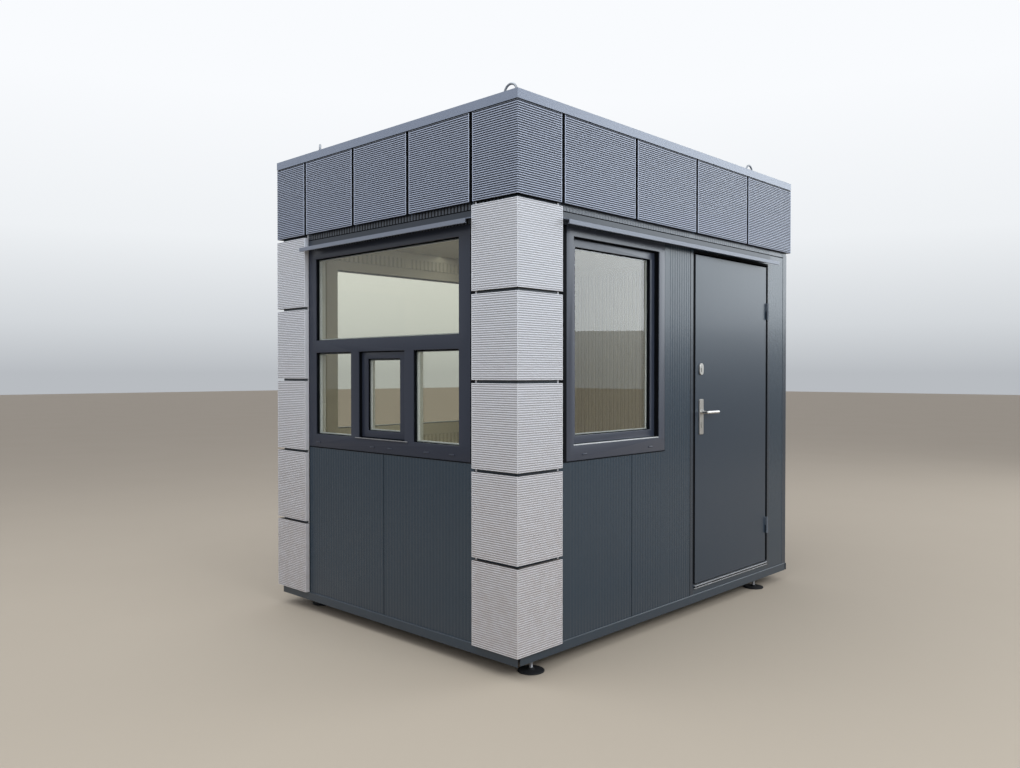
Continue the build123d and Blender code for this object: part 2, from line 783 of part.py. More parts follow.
def corner_flashings():
    """Smooth angle trims over the two back corners, which stand on the base flashing."""
    t = corner_trim_thickness
    z = (wall_bottom, attic_bottom - corner_trim_gap)
    trims = []
    for direction in (1, -1):
        x = direction * right_plane
        trim = block(x, x + direction * t, back_plane - corner_trim_side_width, back_plane + t, *z)
        trim += block(x + direction * t, x - direction * corner_trim_back_width, back_plane, back_plane + t, *z)
        trims.append(trim)
    return trims


# Build and write every node
ring, cross_rows = base_frame()
save(ring, "base_frame")
save(floor_slab(cross_rows), "floor_slab")
save(base_flashings(), "base_flashings")
save([foot(half_width - foot_inset_side, along_side(foot_inset_front)),
      foot(foot_inset_left - half_width, along_side(foot_inset_front)),
      foot(half_width - foot_inset_side, back_edge - foot_inset_back),
      foot(foot_inset_left - half_width, back_edge - foot_inset_back)], "levelling_feet")
save(corner_posts(), "corner_posts")

front_below, front_above, front_piers = front_walls()
save(front_below, "front_wall_below_window")
save(front_above, "front_wall_above_window")
save(front_piers, "front_wall_piers")
left_below, left_above, left_piers = left_walls()
save(left_below, "left_wall_below_window")
save(left_above, "left_wall_above_window")
save(left_piers, "left_wall_piers")
right_below, right_above, right_piers = right_walls()
save(right_below, "right_wall_below_window")
save(wall_over_openings(right_above), "right_wall_above_openings")
save(right_piers, "right_wall_piers")
save(back_wall(), "back_wall")
save(corner_flashings(), "corner_flashings")

save(roof_panel(), "roof_panel")
save(attic_upstands(), "attic_upstands")
save(cap_flashings(), "cap_flashings")
save(attic_fields(), "attic_cassettes")
attic_corner = attic_corner_cassette()
save([attic_corner, attic_corner.mirror(Plane.YZ)], "attic_corner_cassettes")
right_column = column_cassettes()
save(right_column, "column_cassettes_right")
save([piece.mirror(Plane.YZ) for piece in right_column], "column_cassettes_left")
save(drip_flashings(), "drip_flashings")

frame, glasses, sash, sash_glass, rail = front_window()
save(frame, "front_window_frame")
save(glasses, "front_window_glass")
save(sash, "service_sash")
save(sash_glass, "service_sash_glass")
save(rail, "service_sill_rail")
frame, sash, glasses = right_window()
save(frame, "right_window_frame")
save(sash, "right_window_sash")
save(glasses, "right_window_glass")
frame, glasses = left_window()
save(frame, "left_window_frame")
save(glasses, "left_window_glass")

save(door_jambs(), "door_jambs")
save(door_head(), "door_head")
threshold_profile, apron = threshold()
save(threshold_profile, "door_threshold")
save(apron, "door_apron")
save(door_leaf(), "door_leaf")
frame_knuckles, leaf_knuckles = hinge_parts()
save(frame_knuckles, "hinge_frame_knuckles")
save(leaf_knuckles, "hinge_leaf_knuckles")
save(handle_plates(), "handle_plates")
save(lock_escutcheons(), "lock_escutcheons")
save(lever_handle(), "lever_handle")
save(lifting_eyes(), "lifting_eyes")
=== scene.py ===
import math
import bmesh
import bpy
from mathutils import Matrix, Vector


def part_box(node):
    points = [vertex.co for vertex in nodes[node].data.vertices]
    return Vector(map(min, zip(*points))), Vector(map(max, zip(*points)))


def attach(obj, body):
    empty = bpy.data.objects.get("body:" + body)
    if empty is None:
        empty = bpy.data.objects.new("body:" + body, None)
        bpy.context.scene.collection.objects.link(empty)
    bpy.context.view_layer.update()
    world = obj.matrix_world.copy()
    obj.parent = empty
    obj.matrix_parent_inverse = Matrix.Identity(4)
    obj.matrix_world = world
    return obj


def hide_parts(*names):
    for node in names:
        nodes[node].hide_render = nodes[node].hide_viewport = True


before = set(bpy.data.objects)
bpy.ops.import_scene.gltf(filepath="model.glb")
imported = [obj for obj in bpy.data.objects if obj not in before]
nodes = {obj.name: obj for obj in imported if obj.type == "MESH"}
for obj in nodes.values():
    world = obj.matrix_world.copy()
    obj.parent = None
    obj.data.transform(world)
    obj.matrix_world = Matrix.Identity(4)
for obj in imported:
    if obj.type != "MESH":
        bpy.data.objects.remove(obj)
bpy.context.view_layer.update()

print("frame loaded with", len(nodes), "nodes")

# Planes of the booth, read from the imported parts
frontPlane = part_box("front_wall_below_window")[0].y
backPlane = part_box("back_wall")[1].y
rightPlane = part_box("right_wall_below_window")[1].x
wallBottom, wallTop = (corner.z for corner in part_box("back_wall"))
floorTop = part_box("floor_slab")[1].z
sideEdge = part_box("cap_flashings")[1].x
frontEdge, backEdge = (corner.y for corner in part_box("cap_flashings"))
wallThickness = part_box("front_wall_below_window")[1].y - frontPlane
innerSide = rightPlane - wallThickness
innerFront = frontPlane + wallThickness
innerBack = backPlane - wallThickness


def addObject(name, data):
    made = bpy.data.objects.new(name, data)
    bpy.context.scene.collection.objects.link(made)
    return made


# Camera at the place that the photograph was taken from
view = {"place": (3.802, -4.336, 1.474), "turn": 43.62, "tilt": -0.751, "lens": 30.09, "sensor": 36.0}

cameraData = bpy.data.cameras.new("boothCamera")
cameraData.lens = view["lens"]
cameraData.sensor_width = view["sensor"]
camera = addObject("boothCamera", cameraData)
camera.location = view["place"]
camera.rotation_euler = (math.radians(90 + view["tilt"]), 0, math.radians(view["turn"]))
bpy.context.scene.camera = camera
bpy.context.scene.view_settings.view_transform = "Standard"
print("camera placed")


def linear(red, green, blue):
    # a colour as a picture editor shows it, turned into the shader's values
    turned = []
    for value in (red, green, blue):
        v = value / 255
        turned.append(v / 12.92 if v <= 0.04045 else ((v + 0.055) / 1.055) ** 2.4)
    return (*turned, 1.0)


class Wire:  # a node's output that Python's operators work on
    def __init__(self, owner, made, output):
        self.owner = owner
        self.made = made
        self.socket = None if output is None else made.outputs[output]

    def maths(self, operation, first, second):
        return self.owner.node("ShaderNodeMath", {"operation": operation}, {0: first, 1: second})

    def __add__(self, other):
        return self.maths("ADD", self, other)

    __radd__ = __add__

    def __sub__(self, other):
        return self.maths("SUBTRACT", self, other)

    def __rsub__(self, other):
        return self.maths("SUBTRACT", other, self)

    def __mul__(self, other):
        return self.maths("MULTIPLY", self, other)

    __rmul__ = __mul__


class NodeTree:  # the nodes of a material or of the world
    def __init__(self, tree):
        self.tree = tree
        tree.nodes.clear()

    def node(self, kind, settings=None, inputs=None, output=0):
        made = self.tree.nodes.new(kind)
        for key, value in (settings or {}).items():
            if key == "stops":
                ramp = made.color_ramp
                while len(ramp.elements) < len(value):
                    ramp.elements.new(0.5)
                for element, (place, colour) in zip(ramp.elements, value):
                    element.position = place
                    element.color = colour
            else:
                setattr(made, key, value)
        for key, value in (inputs or {}).items():
            self.feed(made.inputs[key], value)
        return Wire(self, made, output)

    def feed(self, socket, value):
        if isinstance(value, Wire):
            self.tree.links.new(value.socket, socket)
        else:
            socket.default_value = value

    def fade(self, value, start, end, low=0.0, high=1.0):
        return self.node("ShaderNodeMapRange", {"interpolation_type": "SMOOTHSTEP"},
                         {0: value, 1: start, 2: end, 3: low, 4: high})

    def blend(self, factor, first, second):
        # each colour is a wire, or red, green and blue as a picture editor shows them
        first, second = (c if isinstance(c, Wire) else linear(*c) for c in (first, second))
        return self.node("ShaderNodeMix", {"data_type": "RGBA"}, {0: factor, 6: first, 7: second}, 2)


class Finish(NodeTree):  # one material with its nodes
    def __init__(self, name, **plain):
        self.material = bpy.data.materials.new(name)
        self.material.use_nodes = True
        super().__init__(self.material.node_tree)
        numbers = {key.replace("_", " "): value for key, value in plain.items()}
        self.shader = self.node("ShaderNodeBsdfPrincipled", {}, numbers)
        self.end = self.node("ShaderNodeOutputMaterial", {}, {"Surface": self.shader}, None)
        self.spot = self.node("ShaderNodeTexCoord", output="Object")

    def set(self, name, value):
        self.feed(self.shader.made.inputs[name], value)

    def stretched(self, x, y, z):
        return self.node("ShaderNodeMapping", {}, {"Vector": self.spot, "Scale": (x, y, z)})

    def noise(self, scale, detail=3.0, rough=0.5, where=None):
        values = {"Vector": where or self.spot, "Scale": scale, "Detail": detail, "Roughness": rough}
        return self.node("ShaderNodeTexNoise", {}, values)

    def axis(self, name):
        return self.node("ShaderNodeSeparateXYZ", {}, {0: self.spot}, name)

    def edges(self, radius):
        return self.node("ShaderNodeBevel", {"samples": 4}, {"Radius": radius})

    def edgeHighlight(self, radius):
        # 0 on flat sheet, rising to 1 where an edge turns; it places a painted highlight along turned edges
        rounded = self.edges(radius)
        flat = self.node("ShaderNodeNewGeometry", output="Normal")
        product = {"operation": "DOT_PRODUCT"}
        same = self.node("ShaderNodeVectorMath", product, {0: rounded, 1: flat}, "Value")
        return self.fade(1 - same, 0.02, 0.25)

    def dress(self, colour, rough, height, distance, edge=0.0012):
        # what changes over the surface: colour, roughness, and relief with eased edges
        self.set("Base Color", colour)
        self.set("Roughness", rough)
        values = {"Height": height, "Distance": distance, "Strength": 1.0}
        if edge:
            values["Normal"] = self.edges(edge)
        self.set("Normal", self.node("ShaderNodeBump", {}, values))
        return self


# Coated steel, the same in its make-up on walls, attic, flashings and columns
wallLook = {"gloss": 0.5, "coat": 0.08, "rough": 0.22, "cool": (30, 43, 54), "wash": (53, 64, 73),
            "streaks": 0.10, "dust": 0.08, "dustTop": 0.35, "earth": (112, 100, 88), "edge": 0.25,
            "bare": (92, 99, 110), "peel": 0.00022, "soft": 0.0012}
# On the attic the upper colour above upperFrom is painted shadow under the cap's hem
atticLook = {**wallLook, "rough": 0.30, "coat": 0.0, "cool": (156, 164, 184), "wash": (173, 180, 196),
             "dust": 0.0, "soft": 0.0, "upper": (46, 51, 62),
             "upperFrom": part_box("attic_cassettes")[1].z - 0.0045}
capLook = {**wallLook, "rough": 0.24, "coat": 0.1, "cool": (110, 119, 138), "wash": (127, 135, 151),
           "dust": 0.0, "bare": (128, 135, 150)}
# On the columns the dust mix rises to 2.1 m: a warmer, darker tint towards the bottom, painted ground bounce
# and shade
columnLook = {**wallLook, "coat": 0.0, "rough": 0.36, "cool": (207, 209, 216), "wash": (222, 223, 227),
              "streaks": 0.18, "dust": 0.52, "dustTop": 2.1, "earth": (148, 130, 116), "peel": 0.00016,
              "soft": 0.0}


def coatedSteel(name, colour, look, **changes):
    look = {**look, **changes}
    paint = Finish(name, Specular_IOR_Level=look["gloss"], Coat_Weight=look["coat"], Coat_Roughness=0.12)
    cloud = paint.noise(1.3, 4.0, 0.55)
    speck = paint.noise(420.0, 2.0, 0.6)
    streak = paint.noise(1.0, 5.0, 0.6, paint.stretched(16.0, 16.0, 0.45))
    base = paint.blend(cloud * 0.5, colour, look["cool"])
    base = paint.blend(streak * look["streaks"], base, look["wash"])
    # painted shade: where a look gives an upper colour, the paint turns to it above upperFrom
    if "upper" in look:
        turned = paint.fade(paint.axis("Z"), look["upperFrom"], look["upperFrom"] + 0.003)
        base = paint.blend(turned, base, look["upper"])
    # Towards the bottom the paint takes the earth: dust on walls, door and base; on the columns a painted
    # ground bounce and shade
    low = paint.fade(paint.axis("Z"), look["dustTop"], 0.06)
    dust = low * (0.35 + paint.noise(24.0, 5.0, 0.65)) * look["dust"]
    base = paint.blend(dust, base, look["earth"])
    # painted highlight: turned edges take the look's bare, by its edge amount
    if look["soft"]:
        base = paint.blend(paint.edgeHighlight(0.002) * look["edge"], base, look["bare"])
    rough = look["rough"] + 0.07 * cloud + 0.05 * speck + 0.2 * dust
    peel = speck * 0.35 + paint.noise(60.0, 2.0) * 0.65
    return paint.dress(base, rough, peel, look["peel"], look["soft"])


wallPaint = coatedSteel("wallPaint", (38, 55, 69), wallLook)
atticPaint = coatedSteel("atticPaint", (164, 172, 191), atticLook)
# A darker copy of the attic paint for rib valleys and undersides: painted shade
atticValley = coatedSteel("atticValley", (44, 49, 61), atticLook, gloss=0.3, rough=0.45,
                          cool=(40, 45, 56), wash=(52, 57, 70))
capPaint = coatedSteel("capPaint", (119, 128, 147), capLook)
# On the drip flashing the flange above the lip takes the upper colour: painted shade
dripPaint = coatedSteel("dripPaint", (116, 122, 136), capLook, gloss=0.35, coat=0.0,
                        cool=(108, 114, 127), wash=(124, 130, 143), bare=(120, 127, 142),
                        upper=(46, 53, 63), upperFrom=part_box("drip_flashings")[1].z - 0.031)
# Near-black paint, painted shade: on the attic cassettes' returns in the joints and in the valleys of the
# upper wall ribs
gapPaint = coatedSteel("gapPaint", (14, 16, 21), wallLook, gloss=0.3, coat=0.0, rough=0.55,
                       cool=(10, 12, 16), wash=(20, 22, 28), dust=0.0, bare=(40, 43, 48))
columnPaint = coatedSteel("columnPaint", (213, 214, 220), columnLook)
# Darker copies of the column paint: painted shade in the rib valleys and on the upper and lower returns
columnValley = coatedSteel("columnValley", (150, 151, 157), columnLook, gloss=0.3,
                           cool=(144, 145, 152), wash=(162, 162, 166))
columnShade = coatedSteel("columnShade", (92, 94, 98), columnLook, gloss=0.3,
                          cool=(84, 86, 90), wash=(104, 105, 108))
# Corner flashings and door jambs: wall-like paint with a strong painted highlight along turned edges
trimPaint = coatedSteel("trimPaint", (40, 50, 62), wallLook, edge=0.8, bare=(150, 158, 168))
# A lighter copy of the wall paint for the walls above the openings: painted light in the shade under the
# attic
upperPaint = coatedSteel("upperPaint", (60, 68, 80), wallLook, cool=(54, 62, 74), wash=(72, 79, 90))
doorPaint = coatedSteel("doorPaint", (41, 54, 68), wallLook, gloss=0.45, rough=0.25, dust=0.05)


def foilFinish(name, colour, grainColour, gloss=0.32):
    # foil of a plastic window profile, with a fine pressed grain
    foil = Finish(name, Specular_IOR_Level=gloss)
    grain = foil.noise(420.0, 3.0, 0.6)
    cloud = foil.noise(2.2, 3.0)
    tone = foil.blend(0.3 * grain + 0.5 * cloud, colour, grainColour)
    return foil.dress(tone, 0.28 + 0.06 * grain, grain, 0.00004, 0.0015)


windowFoil = foilFinish("windowFoil", (42, 47, 60), (48, 53, 66))
# A lighter copy of the window foil for the right side's frames: painted light on the lit side
sideFoil = foilFinish("sideFoil", (49, 55, 69), (55, 61, 75), 0.65)
innerFoil = foilFinish("innerFoil", (216, 214, 205), (208, 206, 197))


def liningFinish(name, colour, cloudColour):
    lining = Finish(name, Specular_IOR_Level=0.4)
    cloud = lining.noise(2.1, 4.0)
    tone = lining.blend(cloud * 0.6, colour, cloudColour)
    return lining.dress(tone, 0.42 + 0.12 * cloud, lining.noise(500.0, 2.0), 0.00008)


def rubberFinish(name, colour, gloss):
    rubber = Finish(name, Specular_IOR_Level=gloss)
    grain = rubber.noise(350.0, 3.0)
    tone = rubber.blend(grain, colour, [c + 8 for c in colour])
    return rubber.dress(tone, 0.62 + 0.2 * grain, grain, 0.0002, 0.0008)


def brushedFinish(name, colour, lines, rough, dull):
    # metal with fine lines; lines gives how closely they lie along each axis
    metal = Finish(name, Metallic=1.0)
    brush = metal.noise(1.0, 3.0, 0.7, metal.stretched(*lines))
    cloud = metal.noise(9.0, 4.0)
    tone = metal.blend(cloud * 0.3, metal.blend(brush * 0.6, colour, dull), dull)
    return metal.dress(tone, rough + 0.16 * brush + 0.06 * cloud, brush, 0.00006, 0.0008)


def thresholdFinish():
    # painted highlights: two bright edge lines, with the strip between them painted dark
    sill = Finish("sillAluminium", Metallic=0.9)
    low, high = (corner.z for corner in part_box("door_threshold"))
    brush = sill.noise(1.0, 3.0, 0.7, sill.stretched(600.0, 8.0, 600.0))
    up = sill.axis("Z")
    dull = sill.fade(up, low + 0.0045, low + 0.0060) * sill.fade(up, high - 0.0045, high - 0.0060)
    tone = sill.blend(brush * 0.5, (204, 206, 210), (160, 162, 166))
    tone = sill.blend(dull, tone, (44, 48, 54))
    return sill.dress(tone, 0.28 + 0.14 * brush, brush, 0.00006, 0.0006)


def zincFinish(name, colour, rough):
    # hot dipped or plated steel with its crystal pattern
    zinc = Finish(name, Metallic=0.75)
    cells = {"Vector": zinc.spot, "Scale": 130.0}
    crystal = zinc.node("ShaderNodeTexVoronoi", {"feature": "F1"}, cells, "Color")
    grey = zinc.node("ShaderNodeRGBToBW", {}, {0: crystal})
    cloud = zinc.noise(18.0, 4.0)
    tone = zinc.blend(grey * 0.5, colour, [int(c * 0.82) for c in colour])
    return zinc.dress(tone, rough + 0.12 * grey + 0.10 * cloud, cloud * 0.7 + grey * 0.3, 0.0002, 0.001)


def vinylFinish():
    # speckled floor sheet on top, painted steel pans below
    vinyl = Finish("floorVinyl", Specular_IOR_Level=0.4)
    speckle = vinyl.fade(vinyl.noise(260.0, 3.0, 0.7), 0.55, 0.68)
    tone = vinyl.blend(speckle * 0.5, (104, 106, 104), (146, 146, 142))
    tone = vinyl.blend(vinyl.noise(3.0, 4.0) * 0.35, tone, (88, 89, 88))
    under = vinyl.fade(vinyl.axis("Z"), floorTop - 0.004, floorTop - 0.008)
    tone = vinyl.blend(under, tone, (64, 66, 68))
    return vinyl.dress(tone, 0.42 + 0.16 * speckle, vinyl.noise(180.0, 3.0), 0.00025)


def glassFinish(name, bend):
    # clear panes that let the light of the lamps through; bend sets how much they mirror
    glass = Finish(name, Transmission_Weight=1.0, Roughness=0.0, IOR=bend)
    glass.set("Base Color", glass.blend(glass.noise(0.7, 2.0) * 0.4, (250, 250, 245), (247, 247, 240)))
    film = {"Height": glass.noise(3.0, 2.0), "Distance": 0.00002, "Strength": 1.0}
    glass.set("Normal", glass.node("ShaderNodeBump", {}, film))
    clear = glass.node("ShaderNodeBsdfTransparent", {}, {"Color": (0.94, 0.95, 0.94, 1.0)})
    lamp = glass.node("ShaderNodeLightPath", output="Is Shadow Ray")
    mix = glass.node("ShaderNodeMixShader", {}, {0: lamp, 1: glass.shader, 2: clear})
    glass.feed(glass.end.made.inputs["Surface"], mix)
    return glass


liningPaint = liningFinish("liningPaint", (204, 194, 170), (194, 184, 160))
liningShade = liningFinish("liningShade", (182, 172, 149), (174, 164, 141))
sealRubber = rubberFinish("sealRubber", (8, 10, 14), 0.06)
footPlastic = rubberFinish("footPlastic", (26, 26, 28), 0.2)
steelSatin = brushedFinish("steelSatin", (206, 204, 200), (500.0, 500.0, 12.0), 0.22, (150, 148, 144))
leverSatin = brushedFinish("leverSatin", (222, 221, 218), (500.0, 14.0, 500.0), 0.16, (176, 174, 170))
sillAluminium = thresholdFinish()
railAluminium = brushedFinish("railAluminium", (178, 180, 184), (8.0, 600.0, 600.0), 0.34, (138, 140, 144))
spacerPale = foilFinish("spacerPale", (228, 229, 227), (214, 215, 214))
screwZinc = zincFinish("screwZinc", (176, 177, 180), 0.32)
eyeZinc = zincFinish("eyeZinc", (150, 153, 158), 0.42)
floorVinyl = vinylFinish()
clearGlass = glassFinish("clearGlass", 1.28)
sideGlass = glassFinish("sideGlass", 1.60)
roofPaint = coatedSteel("roofPaint", (150, 152, 154), capLook, rough=0.4, streaks=0.3,
                        cool=(138, 141, 144), wash=(166, 166, 164), bare=(176, 178, 180))
# Dark paint for the base frame, made darker still as painted shade under the columns
basePaint = coatedSteel("basePaint", (36, 39, 43), wallLook, coat=0.0, rough=0.40, cool=(31, 33, 37),
                        dust=0.2, dustTop=0.16)
# Hinges painted lighter than the door paint: painted light where they sit in shade
hingePaint = coatedSteel("hingePaint", (88, 96, 106), wallLook, rough=0.26, cool=(82, 90, 100),
                         wash=(100, 107, 116), dust=0.0)
print("finishes made")


weld = 0.000002  # points closer than this become one


def makePiece(name, mesh, finishes, body="booth", replaces=(), sharp=30):
    data = bpy.data.meshes.new(name)
    bmesh.ops.remove_doubles(mesh, verts=mesh.verts[:], dist=weld)
    bmesh.ops.dissolve_degenerate(mesh, edges=mesh.edges[:], dist=weld)
    mesh.to_mesh(data)
    mesh.free()
    for finish in finishes:
        data.materials.append(finish.material)
    data.shade_smooth()
    data.set_sharp_from_angle(angle=math.radians(sharp))
    piece = addObject(name, data)
    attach(piece, body)
    if replaces:
        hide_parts(*replaces)


# The four walls, each as a way from (along, inward, up) to the booth's own axes
def onFront(along, inward, up):
    return Vector((along, frontPlane + inward, up))


def onBack(along, inward, up):
    return Vector((-along, backPlane - inward, up))


def onRight(along, inward, up):
    return Vector((rightPlane - inward, along, up))


def onLeft(along, inward, up):
    return Vector((inward - rightPlane, -along, up))


def ribStops(low, high, rib):
    # where a micro-ribbed sheet turns, and how deep it lies there
    count = round((high - low) / rib["pitch"])
    pitch = (high - low) / count
    land = (pitch - rib["valley"]) / 2 - rib["slope"]
    stops = []
    for i in range(count):
        a = low + i * pitch + land
        b = a + rib["slope"]
        c = b + rib["valley"]
        stops += [(a, 0.0), (b, rib["depth"]), (c, rib["depth"]), (c + rib["slope"], 0.0)]
    return stops


def mergeStops(first, second):
    # both profiles read at every place where either turns
    def read(stops, at):
        for (a, x), (b, y) in zip(stops, stops[1:]):
            if a <= at <= b:
                return x + (y - x) * (at - a) / (b - a) if b > a else y
        return stops[0][1] if at < stops[0][0] else stops[-1][1]

    places = sorted({round(a, 6) for a, _ in first} | {round(a, 6) for a, _ in second})
    return [(at, read(first, at), read(second, at)) for at in places]


# Sandwich panels of the walls
panel = {"outer": {"pitch": 0.025, "valley": 0.009, "slope": 0.003, "depth": 0.0007, "margin": 0.014},
         "upper": {"pitch": 0.025, "valley": 0.009, "slope": 0.0035, "depth": 0.0018, "margin": 0.001},
         "inner": {"pitch": 0.0375, "valley": 0.010, "slope": 0.004, "depth": 0.0028, "margin": 0.014},
         "joint": 0.005, "jointDepth": 0.006, "jointSlope": 0.0005, "innerJoint": 0.0015,
         "firstJoint": 0.963, "width": 1.0}


def panelStops(start, end, joints, rib, depth):
    # ribs between smooth margins, with an open joint between neighbouring panels
    half = panel["joint"] / 2
    turn = half + panel["jointSlope"]
    bounds = [start] + sorted(j for j in joints if start < j < end) + [end]
    stops = [(start, 0.0)]
    for low, high in zip(bounds, bounds[1:]):
        if low != start:
            stops += [(low + half, depth), (low + turn, 0.0)]
        if rib:
            anchor = low if low != start else high
            lead = anchor + rib["margin"] if low != start else anchor - rib["margin"]
            count = int((high - low - 2 * rib["margin"]) / rib["pitch"])
            reach = count * rib["pitch"]
            stops += ribStops(lead, lead + reach, rib) if low != start else ribStops(lead - reach, lead, rib)
        if high != end:
            stops += [(high - turn, 0.0), (high - half, depth)]
    return stops + [(end, 0.0)]


def addPanel(mesh, spot, start, end, low, high, joints, ribs="outer"):
    # finishes: 0 outer sheet and edges, 1 lining, 2 valleys outside, painted shade on the upper ribs, 3
    # valleys of the lining, painted shade
    outer = panelStops(start, end, joints, panel[ribs] if ribs else None, panel["jointDepth"])
    inner = panelStops(start, end, joints, panel["inner"], panel["innerJoint"])
    columns = []
    for along, out, back in mergeStops(outer, inner):
        lining = wallThickness - back
        corners = ((out, low), (out, high), (lining, high), (lining, low))
        columns.append((out, back, [mesh.verts.new(spot(along, depth, up)) for depth, up in corners]))
    for (outLeft, backLeft, left), (outRight, backRight, right) in zip(columns, columns[1:]):
        outside = 2 if ribs == "upper" and min(outLeft, outRight) > 0 else 0
        inside = 3 if min(backLeft, backRight) > 0 else 1
        for i, finish in ((0, outside), (1, 0), (2, inside), (3, 0)):
            j = (i + 1) % 4
            face = mesh.faces.new((left[i], right[i], right[j], left[j]))
            face.material_index = finish
    mesh.faces.new(columns[0][2]).material_index = 0
    mesh.faces.new(columns[-1][2][::-1]).material_index = 0


def makeWall(name, node, spot, blocks, joints=(), coat=wallPaint):
    mesh = bmesh.new()
    for block in blocks:
        addPanel(mesh, spot, *block[:4], joints, *block[4:])
    bmesh.ops.recalc_face_normals(mesh, faces=mesh.faces[:])
    makePiece(name, mesh, [coat, liningPaint, gapPaint, liningShade],
              replaces=(node,), sharp=12)


windowBottom, windowTop = (corner.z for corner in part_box("front_window_frame"))
frontLeft, frontRight = (corner.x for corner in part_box("front_window_frame"))
sideFirst, sideLast = (corner.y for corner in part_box("right_window_frame"))
doorFirst, doorLast = (corner.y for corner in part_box("door_head"))
leftFirst, leftLast = (corner.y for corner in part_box("left_window_frame"))
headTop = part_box("door_head")[1].z
sideJoint = frontEdge + panel["firstJoint"]
leftJoints = (-sideJoint, -sideJoint - panel["width"])

makeWall("frontWallLow", "front_wall_below_window", onFront,
         [(-innerSide, innerSide, wallBottom, windowBottom)], (0.0,))
makeWall("frontWallHigh", "front_wall_above_window", onFront,
         [(-innerSide, innerSide, windowTop, wallTop, "upper")], coat=upperPaint)
makeWall("frontWallPiers", "front_wall_piers", onFront,
         [(-innerSide, frontLeft, windowBottom, windowTop, None),
          (frontRight, innerSide, windowBottom, windowTop, None)])
makeWall("rightWallLow", "right_wall_below_window", onRight,
         [(sideFirst, sideLast, wallBottom, windowBottom)], (sideJoint,))
makeWall("rightWallHigh", "right_wall_above_openings", onRight,
         [(innerFront, doorFirst, windowTop, wallTop), (doorFirst, doorLast, headTop, wallTop),
          (doorLast, innerBack, windowTop, wallTop, None)], coat=upperPaint)
makeWall("rightWallPiers", "right_wall_piers", onRight,
         [(innerFront, sideFirst, wallBottom, windowTop, None),
          (sideLast, doorFirst, wallBottom, windowTop),
          (doorLast, innerBack, wallBottom, windowTop, None)])
makeWall("leftWallLow", "left_wall_below_window", onLeft,
         [(-innerBack, -innerFront, wallBottom, windowBottom)], leftJoints)
makeWall("leftWallHigh", "left_wall_above_window", onLeft,
         [(-innerBack, -innerFront, windowTop, wallTop)], leftJoints)
makeWall("leftWallPiers", "left_wall_piers", onLeft,
         [(-innerBack, -leftLast, windowBottom, windowTop),
          (-leftFirst, -innerFront, windowBottom, windowTop)])
makeWall("backWall", "back_wall", onBack, [(-innerSide, innerSide, wallBottom, wallTop)], (0.0,))
print("walls made")


# Folded cassettes of the attic and the columns
cassette = {"rib": {"pitch": 0.01125, "valley": 0.0040, "slope": 0.0018, "depth": 0.0024},
            "side": 0.004, "edge": 0.0012, "ramp": 0.001, "fold": 0.0022, "return": 0.0285}


def foldStops(reach):
    # from the inner end of a folded return, round the fold, to the face
    turn = [math.radians(a) for a in (0, 30, 60, 90)]
    fold = cassette["fold"]
    return [(0.0, reach)] + [(fold * (1 - math.cos(a)), fold * (1 - math.sin(a))) for a in turn]


def cassetteRows(height, reach):
    folds = foldStops(reach)
    ribs = ribStops(cassette["edge"], height - cassette["edge"], cassette["rib"])
    rows = [(up, back, 0.0) for up, back in folds] + [(up, 0.0, depth) for up, depth in ribs]
    return rows + [(height - up, back, 0.0) for up, back in folds[::-1]]


def endColumns(reach, way):
    # one end of a cassette: its return, its fold and the smooth margin beside the ribs
    margin = cassette["side"]
    ends = [(way(u), back, 0.0) for u, back in foldStops(reach)]
    return ends + [(way(margin), 0.0, 0.0), (way(margin + cassette["ramp"]), 0.0, 1.0)]


def flatColumns(width, reach):
    left = endColumns(reach, lambda u: lambda depth: (u - width / 2, depth))
    right = endColumns(reach, lambda u: lambda depth: (width / 2 - u, depth))
    return left + right[::-1]


def cornerColumns(front, side, reach, bend):
    # a cassette that wraps the corner at x = y = 0; bend says how deep its ribs stay in the corner
    fold = cassette["fold"]
    near = fold + cassette["ramp"]
    left = endColumns(reach, lambda u: lambda depth: (min(u - front, -depth), depth))
    right = endColumns(reach, lambda u: lambda depth: (-depth, max(side - u, depth)))

    def turn(angle):
        def spot(depth):
            if depth >= fold:
                return -depth, depth
            radius = fold - depth
            return radius * math.sin(angle) - fold, fold - radius * math.cos(angle)
        return spot

    corner = [(turn(math.radians(a)), 0.0, bend) for a in (0, 22.5, 45, 67.5, 90)]
    corner = [(lambda depth: (-near, depth), 0.0, 1.0)] + corner + [(lambda depth: (-depth, near), 0.0, 1.0)]
    return left + corner + right[::-1]


def addCassette(mesh, rows, columns, spot, mirrored=False, openEnd=False):
    # finishes: 0 ribs and folds, 1 valleys, 2 upper and lower returns, 3 side returns, 4 undersides; on the
    # attic 1 to 4, on the columns 1 and 2, take darker paint as painted shade
    grid = []
    for up, rowBack, rib in rows:
        line = []
        for place, columnBack, weight in columns:
            back = max(rowBack, columnBack)
            x, y = place(back if back > 0 else rib * weight)
            line.append(mesh.verts.new(spot(x, y, up)))
        grid.append(line)
    turned = cassette["fold"] + 0.0001  # beyond the fold lies a return
    for i in range(len(rows) - 1):
        for j in range(len(columns) - 1):
            corners = (grid[i][j], grid[i][j + 1], grid[i + 1][j + 1], grid[i + 1][j])
            face = mesh.faces.new(corners[::-1] if mirrored else corners)
            if max(rows[i][1], rows[i + 1][1]) > turned:
                face.material_index = 2
            elif max(columns[j][1], columns[j + 1][1]) > turned:
                face.material_index = 0 if openEnd and j > len(columns) / 2 else 3
            elif rows[i][2] > 0 and min(columns[j][2], columns[j + 1][2]) > 0:
                face.material_index = 1 if rows[i + 1][2] > 0 else 4


def atCorner(side, up0):
    # from a corner cassette's own axes to the right or left front corner
    return lambda x, y, up: Vector((side * (sideEdge + x), frontEdge + y, up0 + up))


